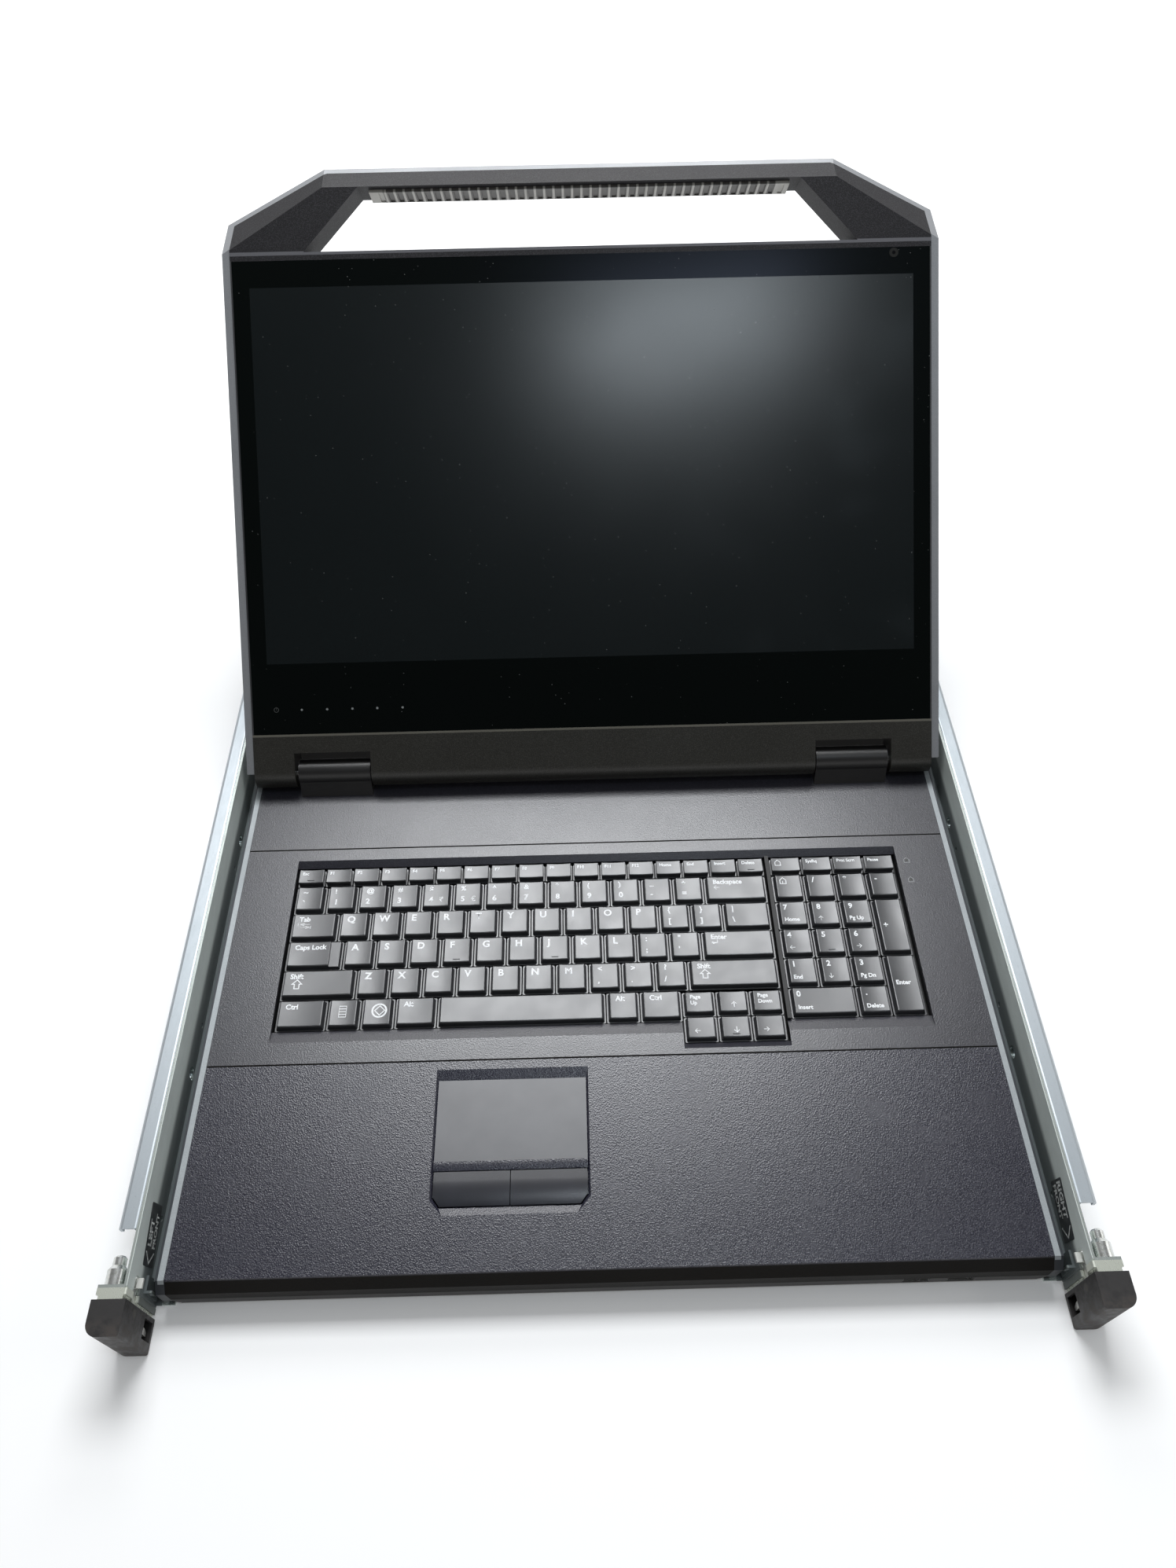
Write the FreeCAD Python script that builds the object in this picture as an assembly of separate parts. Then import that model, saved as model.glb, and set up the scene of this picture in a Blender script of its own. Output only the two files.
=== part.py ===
import FreeCAD, Part
import math
import os

"""One-unit rack console drawer: a keyboard tray with a fold-up display, carried on slides
between two telescoping rack rails.

Frame, in millimetres: X to the right, Y rearwards into the rack, Z up. The origin is the centre
of the four front studs, in the plane where the mounting ears meet the rack posts. At rest the
tray is fully in and the display is open against its stop.
"""

Vec = FreeCAD.Vector
OVER = 1.0                      # how far a cutter reaches past what it cuts

# ---- rack interface -------------------------------------------------------------------------
STUD_PITCH_X = 465.1            # EIA-310 hole spacing across the rack
STUD_PITCH_Z = 31.75            # outer holes of one rack unit
POST_DEPTH = 640.0              # front mounting plane to rear mounting plane
STUD_BASE_R = 4.75              # fills a 9.5 mm square rack hole
REAR_STUD_BASE_R = 4.5
STUD_NECK_R = 4.0
STUD_TIP_R = 3.15
STUD_BASE_LENGTH = 7.0
STUD_CONE_LENGTH = 2.0
STUD_TIP_LENGTH = 4.5
STUD_TIP_ROUND = 1.0
STUD_HEAD_R = 4.6               # swaged flush into the countersunk plates
STUD_HEAD_THICK = 2.0

# ---- rails ----------------------------------------------------------------------------------
SHEET = 1.5                     # zinc-plated sheet of the rails
BEND_R = 2.2                    # outside radius of a bend
RAIL_INSET = 7.55               # stud column to the web's inner face
RAIL_BOTTOM = -22.0
RAIL_HEIGHT = 42.5
FRONT_RAIL_LENGTH = 430.0
FOOT_FLANGE = 9.5               # lower flange, inwards from the web
EAR_MARGIN = 5.95               # stud column to the ear's outer edge
CHANNEL_DEPTH = 9.0
CHANNEL_LIP = 5.0
CHANNEL_FRONT_Y = 25.0
CHANNEL_REAR_GAP = 35.0         # rear end of the channel to the rear mounting plane
BRACKET_LENGTH = 80.0
WEB_HOLE_Z = -5.0
WEB_HOLE_R = 3.5
WEB_HOLES_Y = (114.0, 270.0)
PILOT_HOLE_R = 1.5
PILOT_HOLES_Y = (37.0, 142.5, 249.0)
RIVET_R = 2.4
RIVET_HOLE_R = 2.5
RIVET_HEAD_R = 4.0
RIVET_HEAD = 1.2
RIVET_INSET = 12.0

# ---- mounting plates, latch covers and latches ------------------------------------------------
PLATE_OVERLAP = 0.5             # plates past the web's inner face
PLATE_THICK = 3.0
BACKER_THICK = 2.0
BACKER_INSET = 1.2
PLATE_HEIGHT = 41.5
COVER_OVERLAP = 1.0             # covers past the web's inner face
COVER_MARGIN = 1.5              # covers past the ears
COVER_DEPTH = 16.0
COVER_HEIGHT = 42.0
COVER_WALL = 1.6
COVER_CORNER_R = 6.0
COVER_EDGE_R = 1.2
COVER_SLOT_Y = (2.0, 11.0)      # from the cover's rear face, forwards
COVER_SLOT_Z = (-19.0, -8.0)
LATCH_THICK = 1.4
LATCH_SIDE_GAP = 0.4            # lever to the cover's inner wall
LATCH_PIVOT_R = 2.0
LATCH_PIVOT_GAP = 0.05
LATCH_HEAD_THICK = 1.0
LATCH_PIVOT_Z = 6.7
LATCH_PIVOT_FORWARD = 3.4       # pivot ahead of the cover's rear face
LATCH_EYE_R = 3.1
LATCH_ARM_HEIGHT = 3.4
LATCH_ARM_REACH = 5.5           # hook tip behind the mounting plane
LATCH_TAB_REACH = 2.4           # bent tab, inwards from the web
LATCH_TAB_LENGTH = 4.5
LATCH_FINGER_LOW = -18.0
LATCH_SWING = 10.0              # degrees
LATCH_WINDOW_GAP = 0.6

# ---- slides -----------------------------------------------------------------------------------
SLIDE_START_Y = 8.0
SLIDE_TRAVEL = 380.0            # of the tray; the middle members move half as far
SLIDE_SPARE = 20.0              # member length beyond the travel
SLIDE_OUTER_HEIGHT = 11.8
SLIDE_SHEET = 1.2
SLIDE_MIDDLE_SHEET = 1.0
SLIDE_INNER_SHEET = 0.9
SLIDE_LIFT = 0.3                # outer member above the rail's foot flange
SLIDE_WEB_GAP = 1.4             # between nested webs
GLIDE_THICK = 1.0
GLIDE_INNER_THICK = 0.8
GLIDE_LENGTH = 28.0
GLIDE_COUNT = 4
GLIDE_EDGE = 1.0                # glide to the member's lip and to its web
SLIDE_LIP_GAP = 0.3             # free edges of the outer and middle members to the tray's skirts
STOP_TAB_WIDTH = 4.0
STOP_TAB_Y = 1.0
STOP_HOLE_R = 1.0
STOP_NOSE_BOTTOM = -18.0
STOP_TAB_GAP = 1.0              # tab above the outer member
STOP_TAB_HEIGHT = 6.0

# ---- tray -------------------------------------------------------------------------------------
TRAY_TOP = 0.85
TRAY_BOTTOM = -20.1
TRAY_FRONT_Y = 0.75
TRAY_REAR_Y = 430.0
TRAY_BEVEL = 5.25
CHEEK_THICK = 4.5
RAIL_GAP = 5.0                  # cheek to the rail's web
CHEEK_BOTTOM = -6.0
CHEEK_NOSE_BOTTOM = -16.0
CHEEK_NOSE_LENGTH = 5.8
CHASSIS_INSET = 3.5             # chassis wall inside the tray's skirts
CHASSIS_SHEET = 1.2
CHASSIS_REAR_SHEET = 1.5
LIP_TOP = -13.5                 # parting line across the front face
FRONT_WALL = 2.2
FRONT_CORNER_R = 6.0
SKIN = 2.5                      # moulded top panels
SKIRT_WALL = 2.2
PALM_SEAM_Y = 115.0
SEAM_GAP = 0.3
POST_R = 3.0

# ---- keyboard ---------------------------------------------------------------------------------
KEY_PITCH = 19.05
KEY_GAP = 0.75                  # between neighbouring skirts
CAP_INSET_X = 2.2               # cell edge to the cap's top face
CAP_INSET_Y = 1.8
CAP_FOOT_INSET = 1.1            # cell edge to the cap's foot
KEY_PROUD = 0.6                 # cap tops above the tray's top
SKIRT_TOP = -2.4
SKIRT_LOW = -3.4
KEY_TRAVEL = 2.5
KEY_FLOOR_GAP = 0.4             # pressed skirt above the base plate
STEM_SIZE = 3.6
STEM_CLEARANCE = 0.2
STEM_GRIP = 1.2                 # stem engaged in the base plate at rest
LONG_KEY_UNITS = 3              # from this width a key has two stems
KEYS_SIDE = 32.5                # tray's edge to the first key's cell
NUMPAD_GAP = 3.55               # main block to the number pad
KEYS_FRONT_MARGIN = 15.6        # palm seam to the centre of the arrow row
KEYS_BACK_MARGIN = 14.0         # function row's cells to the deck seam
FUNCTION_ROW_STEP = 15.8        # number row to function row, centre to centre
FUNCTION_DEPTH = 12.0
FUNCTION_INSET_Y = 1.25
FUNCTION_INSET_X = 0.9
CURSOR_DEPTH = 15.6             # paging and arrow keys are shorter, front to back
CURSOR_SHIFT = 0.8              # upper cursor row behind the modifiers' row
CURSOR_PITCH_Y = 15.4
CAPS_STEP = 5.2                 # low shelf at the right of the caps-lock key
CAPS_SHELF_DROP = 1.6
WELL_LEFT_GAP = 0.9             # key cells to the walls of their well
WELL_RIGHT_GAP = 1.8
WELL_FRONT_GAP = 0.375
WELL_BACK_GAP = 1.3
ARROW_WELL_GAP = (0.8, 0.85, 0.4)   # left, right and front of the arrow keys
FRONT_LIP = 7.4                 # sloping lips of the key well, measured flat
REAR_LIP = 4.3
ARROW_LIP = 3.9
BASE_THICK = 2.0
BASE_WALL = 2.1
DIVIDER_WIDTH = 2.3
DIVIDER_GAP = 0.4               # ridge to the number pad's cells
DIVIDER_TOP = 0.3

# ---- touchpad ---------------------------------------------------------------------------------
PAD_CENTRE_X = -49.2
PAD_WIDTH = 79.2
PAD_SETBACK = 11.1              # palm seam to the pad's rear edge
PAD_DEPTH = 43.9
PAD_THICK = 0.6
PAD_GAP = 0.1                   # pad to the walls of its well
WELL_DEPTH = 1.5
WELL_REAR_LIP = 5.8
WELL_FRONT_LIP = 4.2
WELL_SIDE_LIP = 1.2
WELL_CORNER = (6.6, 8.0)        # cut corners at the front of the well
BUTTON_DEPTH = 17.4
RIDGE_DEPTH = 5.2               # ridge and gap between pad and buttons
BUTTON_GAP = 0.4                # round each click button
BUTTON_DROP = 0.8               # button face below the tray's top
BUTTON_CORNER = (3.6, 5.0)
BUTTON_TRAVEL = 0.6
BUTTON_FLANGE = 1.0
BUTTON_FLANGE_THICK = 1.2
SWITCH_GAP = 0.1                # pressed button above its post
RIDGE_DROP = 0.5

# ---- front sockets and inner pieces -------------------------------------------------------------
USB_WIDTH = 13.2
USB_HEIGHT = 5.1
USB_DEPTH = 14.0
USB_INSET = 42.5                # tray's edge to the outer socket's centre
USB_PITCH = 22.0
USB_SETBACK = 0.3
USB_WALL = 0.4
TONGUE_WIDTH = 11.0
TONGUE_THICK = 1.6
TONGUE_SETBACK = 1.0
BOARD_THICK = 1.6
STANDOFF = 3.0
CONTROLLER_SIDE = 52.0          # chassis wall to the board
CONTROLLER_SIZE = (130.0, 82.0)
CONTROLLER_BACK = 18.0          # board to the tray's rear
CHIP_SIZE = 18.0
CHIP_THICK = 1.8
SUPPLY_SIDE = 42.0
SUPPLY_SIZE = (140.0, 86.0)
SUPPLY_BACK = 12.0
SUPPLY_HEIGHT = 12.5
SOCKET_Z = -9.6
VIDEO_SOCKET = (31.0, 11.0)
DATA_SOCKET = (12.0, 11.0)
POWER_SOCKET = (14.0, 11.0)
SOCKET_DEPTH = 12.0
SOCKET_WALL = 1.6
SOCKET_CAVITY = 8.4
SOCKET_CORE_GAP = 1.5           # between the core and the side walls
SOCKET_CORE_HEIGHT = 3.4
SOCKET_CORE_SETBACK = 0.8
SOCKET_SIDE = 92.0              # chassis wall to the outer sockets
DATA_STEP = 60.0                # video socket to data socket
LENS_R = 0.9
LENS_SIDE = 25.1                # tray's edge to the indicators
LENS_SETBACK = 19.0             # deck seam to the rear indicator
LENS_PITCH = 14.1

# ---- hinge and display --------------------------------------------------------------------------
OPEN_ANGLE = 137.46             # from closed
HINGE_SETBACK = 53.8            # deck seam to the hinge axis
CLOSED_GAP = 1.25               # closed glass above the tray's top
DISPLAY_THICK = 18.6
KNUCKLE_R = 8.5
KNUCKLE_SIDE = 32.4             # display's side to the knuckle
KNUCKLE_WIDTH = 45.8
KNUCKLE_FOOT_FRONT = 11.7
KNUCKLE_FOOT_REAR = 11.0
CUTOUT_INNER_GAP = 0.8          # knuckle to the chin beside it
CUTOUT_OUTER_GAP = 1.9
CUTOUT_TOP = 12.9
PIN_R = 3.0
PIN_CLEARANCE = 0.05
PIN_OVERHANG = 6.0
DISPLAY_OVERHANG = 1.0          # display's side past the cheek
TRIM_WIDTH = 4.7                # at the sides
TRIM_TOP_WIDTH = 3.5            # over the handle
TRIM_SHOULDER_DROP = 2.0        # inner corner below the outer one
TRIM_STEP = 0.5                 # trim below the screen's face
COVER_SHEET = 2.2
GLASS_SIDE_GAP = 0.9            # glass to the trim band
GLASS_LOW = 24.9
GLASS_HEIGHT = 291.5
GLASS_THICK = 1.1
PANEL_INSET = (6.9, 41.1, 12.4)     # inside the glass: sides, bottom, top
PANEL_THICK = 7.0
LEDGE = 4.8                     # bar between the glass and the handle opening
OPENING_HEIGHT = 38.0
OPENING_SIDE = 50.0             # display's side to the opening's lower corner
OPENING_TAPER = 35.0            # lower corner to upper corner
HANDLE_BAR = 15.3               # opening to the display's upper end
HANDLE_SHOULDER_DROP = 29.5     # upper end to where the side turns in
HANDLE_SHOULDER_RUN = 63.0      # side to the upper end's corner
BEVEL_DROP = 8.0                # handle's front bevel, front to back
CREASE_RISE = 7.6               # glass to the low end of the corner bevel
CREASE_INSET = 0.4
GRIP_INSET = 6.0                # grip inside the opening's upper corners
GRIP_DEPTH = 14.0
GRIP_THICK = 1.8
GRIP_RIBS = 45
GRIP_RIB_DEPTH = 0.6
GRIP_RIM = 1.0
DRIVER_HALF = 70.0
DRIVER_V = (32.0, 60.0)
TOUCH_SIDE = 8.4                # glass edge to the touch-key strip
TOUCH_LENGTH = 95.0
TOUCH_V = (34.0, 48.0)
EDGE_R = 1.5

# ---- key rows, in key units -------------------------------------------------------------------------
ROW_COUNT = 5
NUMPAD_COLUMN_COUNT = 4
CURSOR_COLUMN_COUNT = 3
MAIN_UNITS = 15
FUNCTION_KEY_COUNT = 17
NUMBER_ROW_UNITS = [1] * 13 + [2]
UPPER_ROW_UNITS = [1.5] + [1] * 12 + [1.5]
HOME_ROW_UNITS = [1.75] + [1] * 11 + [2.25]
LOWER_ROW_UNITS = [2.25] + [1] * 10 + [2.75]
LEFT_MODIFIER_UNITS = [1.5, 1, 1, 1.25]
SPACE_UNITS = 5
RIGHT_MODIFIER_UNITS = [1, 1.25]

# ---- derived places -------------------------------------------------------------------------------
STUD_X = STUD_PITCH_X / 2
STUD_Z = STUD_PITCH_Z / 2
RAIL_TOP = RAIL_BOTTOM + RAIL_HEIGHT
RAIL_INNER_X = STUD_X - RAIL_INSET
RAIL_OUTER_X = RAIL_INNER_X + SHEET
EAR_OUTER_X = STUD_X + EAR_MARGIN
CHANNEL_OUTER_X = RAIL_OUTER_X + CHANNEL_DEPTH
PLATE_INNER_X = RAIL_INNER_X - PLATE_OVERLAP
PLATE_FRONT_Y = -(SHEET + PLATE_THICK + BACKER_THICK)
COVER_INNER_X = RAIL_INNER_X - COVER_OVERLAP
COVER_OUTER_X = EAR_OUTER_X + COVER_MARGIN
COVER_FRONT_Y = PLATE_FRONT_Y - COVER_DEPTH
LATCH_PIVOT_Y = PLATE_FRONT_Y - LATCH_PIVOT_FORWARD
LATCH_X = COVER_INNER_X + COVER_WALL + LATCH_SIDE_GAP

CHEEK_OUTER_X = RAIL_INNER_X - RAIL_GAP
TRAY_HALF = CHEEK_OUTER_X - CHEEK_THICK
CHASSIS_HALF = TRAY_HALF - CHASSIS_INSET
SLIDE_LOW = RAIL_BOTTOM + SHEET + SLIDE_LIFT
SLIDE_LENGTH = SLIDE_TRAVEL + SLIDE_SPARE
SLIDE_LIP_X = TRAY_HALF + SLIDE_LIP_GAP
STOP_TAB_X = RAIL_INNER_X - STOP_TAB_WIDTH
STOP_TAB_BOTTOM = SLIDE_LOW + SLIDE_OUTER_HEIGHT + STOP_TAB_GAP
PANEL_UNDER = TRAY_TOP - SKIN
FLOOR_TOP = TRAY_BOTTOM + CHASSIS_SHEET
USB_CENTRE_Z = FLOOR_TOP + USB_HEIGHT / 2
USB_CENTRES_X = (TRAY_HALF - USB_INSET - USB_PITCH, TRAY_HALF - USB_INSET)
CONTROLLER_X = (CONTROLLER_SIDE - CHASSIS_HALF, CONTROLLER_SIDE - CHASSIS_HALF + CONTROLLER_SIZE[0])
CONTROLLER_Y = (TRAY_REAR_Y - CONTROLLER_BACK - CONTROLLER_SIZE[1], TRAY_REAR_Y - CONTROLLER_BACK)
SUPPLY_X = (CHASSIS_HALF - SUPPLY_SIDE - SUPPLY_SIZE[0], CHASSIS_HALF - SUPPLY_SIDE)
SUPPLY_Y = (TRAY_REAR_Y - SUPPLY_BACK - SUPPLY_SIZE[1], TRAY_REAR_Y - SUPPLY_BACK)
VIDEO_X = SOCKET_SIDE - CHASSIS_HALF
DATA_X = VIDEO_X + DATA_STEP
POWER_X = CHASSIS_HALF - SOCKET_SIDE

PAD_X = (PAD_CENTRE_X - PAD_WIDTH / 2, PAD_CENTRE_X + PAD_WIDTH / 2)
PAD_Y = (PALM_SEAM_Y - PAD_SETBACK - PAD_DEPTH, PALM_SEAM_Y - PAD_SETBACK)
BUTTON_Y = (PAD_Y[0] - RIDGE_DEPTH - BUTTON_DEPTH, PAD_Y[0] - RIDGE_DEPTH)

KEY_TOP = TRAY_TOP + KEY_PROUD
BASE_TOP = SKIRT_LOW - KEY_TRAVEL - KEY_FLOOR_GAP
BASE_LOW = BASE_TOP - BASE_THICK
KEYS_LEFT_X = KEYS_SIDE - TRAY_HALF
MAIN_RIGHT_X = KEYS_LEFT_X + MAIN_UNITS * KEY_PITCH
NUMPAD_LEFT_X = MAIN_RIGHT_X + NUMPAD_GAP
CURSOR_LEFT_X = MAIN_RIGHT_X - CURSOR_COLUMN_COUNT * KEY_PITCH
ARROW_ROW_Y = PALM_SEAM_Y + KEYS_FRONT_MARGIN
CURSOR_TOP_Y = ARROW_ROW_Y + CURSOR_PITCH_Y
FRONT_ROW_Y = CURSOR_TOP_Y - CURSOR_SHIFT
ROW_Y = [FRONT_ROW_Y + i * KEY_PITCH for i in reversed(range(ROW_COUNT))]
FUNCTION_ROW_Y = ROW_Y[0] + FUNCTION_ROW_STEP
DECK_SEAM_Y = FUNCTION_ROW_Y + FUNCTION_DEPTH / 2 + KEYS_BACK_MARGIN
LENS_X = TRAY_HALF - LENS_SIDE
LENSES_Y = (DECK_SEAM_Y - LENS_SETBACK - LENS_PITCH, DECK_SEAM_Y - LENS_SETBACK)
KEY_WELL_X = (KEYS_LEFT_X - WELL_LEFT_GAP,
              NUMPAD_LEFT_X + NUMPAD_COLUMN_COUNT * KEY_PITCH + WELL_RIGHT_GAP)
KEY_WELL_Y = (ROW_Y[-1] - KEY_PITCH / 2 - WELL_FRONT_GAP,
              FUNCTION_ROW_Y + FUNCTION_DEPTH / 2 + WELL_BACK_GAP)
ARROW_WELL_X = (CURSOR_LEFT_X - ARROW_WELL_GAP[0], MAIN_RIGHT_X + ARROW_WELL_GAP[1])
ARROW_WELL_Y = ARROW_ROW_Y - CURSOR_DEPTH / 2 - ARROW_WELL_GAP[2]
DIVIDER_X = (NUMPAD_LEFT_X - DIVIDER_GAP - DIVIDER_WIDTH, NUMPAD_LEFT_X - DIVIDER_GAP)

HALF_THICK = DISPLAY_THICK / 2
HINGE_Y = DECK_SEAM_Y + HINGE_SETBACK
HINGE_Z = TRAY_TOP + CLOSED_GAP + HALF_THICK
DISPLAY_HALF = CHEEK_OUTER_X + DISPLAY_OVERHANG
COVER_HALF = DISPLAY_HALF - TRIM_WIDTH
GLASS_HALF = COVER_HALF - GLASS_SIDE_GAP
GLASS_TOP = GLASS_LOW + GLASS_HEIGHT
GLASS_SEAT = HALF_THICK - GLASS_THICK
PANEL_HALF = GLASS_HALF - PANEL_INSET[0]
PANEL_V = (GLASS_LOW + PANEL_INSET[1], GLASS_TOP - PANEL_INSET[2])
KNUCKLE_X = (DISPLAY_HALF - KNUCKLE_SIDE - KNUCKLE_WIDTH, DISPLAY_HALF - KNUCKLE_SIDE)
CUTOUT_X = (KNUCKLE_X[0] - CUTOUT_INNER_GAP, KNUCKLE_X[1] + CUTOUT_OUTER_GAP)
OPENING_LOW = GLASS_TOP + LEDGE
OPENING_TOP = OPENING_LOW + OPENING_HEIGHT
OPENING_LOW_X = DISPLAY_HALF - OPENING_SIDE
OPENING_TOP_X = OPENING_LOW_X - OPENING_TAPER
HANDLE_TOP = OPENING_TOP + HANDLE_BAR
HANDLE_TOP_X = DISPLAY_HALF - HANDLE_SHOULDER_RUN
SHOULDER_V = HANDLE_TOP - HANDLE_SHOULDER_DROP
GRIP_HALF = OPENING_TOP_X - GRIP_INSET
TOUCH_X = (TOUCH_SIDE - GLASS_HALF, TOUCH_SIDE - GLASS_HALF + TOUCH_LENGTH)

parts = {}


# ---- shape helpers --------------------------------------------------------------------------------
def box(x, y, z):
    """Block between pairs of x, y and z values."""
    lengths = [abs(b - a) for a, b in (x, y, z)]
    return Part.makeBox(*lengths, Vec(min(x), min(y), min(z)))


def prism(points, low, high, along):
    """Extrude an outline along x, y or z; its points hold the other two coordinates in order."""
    place = {"x": lambda a, b: Vec(low, a, b), "y": lambda a, b: Vec(a, low, b),
             "z": lambda a, b: Vec(a, b, low)}[along]
    sweep = {"x": Vec(1, 0, 0), "y": Vec(0, 1, 0), "z": Vec(0, 0, 1)}[along] * (high - low)
    corners = [place(a, b) for a, b in points]
    return Part.Face(Part.makePolygon(corners + corners[:1])).extrude(sweep)


def rod(radius, start, end):
    """Cylinder between two points."""
    axis = Vec(*end) - Vec(*start)
    return Part.makeCylinder(radius, axis.Length, Vec(*start), axis)


def fuse(shapes):
    """Join shapes that touch into one clean solid."""
    joined = shapes[0].multiFuse(shapes[1:]) if len(shapes) > 1 else shapes[0]
    return joined.removeSplitter()


def cut(shape, tools):
    """Take tools away from a shape."""
    return shape.cut(Part.makeCompound(tools)).removeSplitter()


def round_edges(shape, radius, chosen):
    """Fillet the straight edges that the test picks by their end points."""
    edges = [e for e in shape.Edges if len(e.Vertexes) == 2
             and chosen(e.Vertexes[0].Point, e.Vertexes[1].Point)]
    return shape.makeFillet(radius, edges) if edges else shape


def mirrored(shape):
    """The left-hand copy of a right-hand piece."""
    return shape.mirror(Vec(0, 0, 0), Vec(1, 0, 0))


def near(value, target, tolerance=0.01):
    return abs(value - target) < tolerance


def pair(name, shape):
    """Add a right-hand piece and its left-hand mirror image."""
    parts["right_" + name] = shape
    parts["left_" + name] = mirrored(shape)


# ---- rails --------------------------------------------------------------------------------------
def front_rail():
    """Right front rail: web, foot flange and an ear bent outwards across the rack post."""
    low, high = RAIL_BOTTOM, RAIL_TOP
    web = box((RAIL_INNER_X, RAIL_OUTER_X), (0, FRONT_RAIL_LENGTH), (low, high))
    foot = box((RAIL_INNER_X - FOOT_FLANGE, RAIL_OUTER_X), (0, FRONT_RAIL_LENGTH), (low, low + SHEET))
    angle = round_edges(fuse([web, foot]), BEND_R, lambda a, b: near(a.x, RAIL_OUTER_X)
                        and near(b.x, RAIL_OUTER_X) and near(a.z, low) and near(b.z, low))
    rail = fuse([angle, box((RAIL_INNER_X, EAR_OUTER_X), (-SHEET, 0), (low, high))])
    rail = round_edges(rail, BEND_R - SHEET / 2, lambda a, b: near(a.x, RAIL_INNER_X)
                       and near(b.x, RAIL_INNER_X) and near(a.y, -SHEET) and near(b.y, -SHEET))
    holes = [rod(WEB_HOLE_R, (RAIL_INNER_X - OVER, y, WEB_HOLE_Z), (RAIL_OUTER_X + OVER, y, WEB_HOLE_Z))
             for y in WEB_HOLES_Y]
    holes += [rod(PILOT_HOLE_R, (RAIL_INNER_X - OVER, y, WEB_HOLE_Z), (RAIL_OUTER_X + OVER, y, WEB_HOLE_Z))
              for y in PILOT_HOLES_Y]
    return cut(rail, holes + stud_holes() + [latch_window()])


def stud_holes():
    """Holes for the two right-hand studs, through ear and plates, countersunk for their heads."""
    holes = [rod(STUD_NECK_R, (STUD_X, PLATE_FRONT_Y - OVER, z), (STUD_X, OVER, z))
             for z in (-STUD_Z, STUD_Z)]
    sinks = [Part.makeCone(STUD_HEAD_R, STUD_NECK_R, STUD_HEAD_THICK, Vec(STUD_X, PLATE_FRONT_Y, z),
                           Vec(0, 1, 0)) for z in (-STUD_Z, STUD_Z)]
    return holes + sinks


def at_rear(shape):
    """The same shape at the rear posts, mirrored front to back."""
    return shape.mirror(Vec(0, POST_DEPTH / 2, 0), Vec(0, 1, 0))


def stud(x, z, plane, direction, base_r):
    """Stepped stud: flush head, neck through the plates, base that fills the rack hole, lead-in tip."""
    shoulder = plane + direction * STUD_BASE_LENGTH
    cone_end = shoulder + direction * STUD_CONE_LENGTH
    tip_end = cone_end + direction * STUD_TIP_LENGTH
    head_end = plane + direction * PLATE_FRONT_Y
    outline = [(0, head_end), (STUD_HEAD_R, head_end),
               (STUD_NECK_R, head_end + direction * STUD_HEAD_THICK), (STUD_NECK_R, plane),
               (base_r, plane),
               (base_r, shoulder), (STUD_TIP_R, cone_end),
               (STUD_TIP_R, tip_end - direction * STUD_TIP_ROUND),
               (STUD_TIP_R - STUD_TIP_ROUND, tip_end), (0, tip_end)]
    corners = [Vec(x + r, y, z) for r, y in outline]
    face = Part.Face(Part.makePolygon(corners + corners[:1]))
    return face.revolve(Vec(x, 0, z), Vec(0, 1, 0), 360)


def channel_profile():
    """Outline of the rear section: a channel that opens outwards, with lips turned inwards."""
    low, high = RAIL_BOTTOM, RAIL_TOP
    near_x, far_x = RAIL_OUTER_X, CHANNEL_OUTER_X
    return [(near_x, low), (far_x, low), (far_x, low + CHANNEL_LIP), (far_x - SHEET, low + CHANNEL_LIP),
            (far_x - SHEET, low + SHEET), (near_x + SHEET, low + SHEET), (near_x + SHEET, high - SHEET),
            (far_x - SHEET, high - SHEET), (far_x - SHEET, high - CHANNEL_LIP),
            (far_x, high - CHANNEL_LIP), (far_x, high), (near_x, high)]


def rear_rail():
    """Right rear rail section, which runs on the outside of the front rail's web."""
    end = POST_DEPTH - CHANNEL_REAR_GAP
    rail = prism(channel_profile(), CHANNEL_FRONT_Y, end, "y")
    rail = round_edges(rail, BEND_R, lambda a, b: not near(a.y, b.y)
                       and near(a.x, CHANNEL_OUTER_X) and near(b.x, CHANNEL_OUTER_X)
                       and (near(a.z, RAIL_TOP) or near(a.z, RAIL_BOTTOM)))
    holes = [rod(RIVET_HOLE_R, (RAIL_OUTER_X - OVER, y, z), (RAIL_OUTER_X + SHEET + OVER, y, z))
             for y, z in rivet_places()]
    return cut(rail, holes)


def rivet_places():
    """Rivets that join the rear bracket to the channel."""
    start = POST_DEPTH - BRACKET_LENGTH
    end = POST_DEPTH - CHANNEL_REAR_GAP
    return [(y, z) for y in (start + RIVET_INSET, end - RIVET_INSET) for z in (-RIVET_INSET, RIVET_INSET)]


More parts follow.
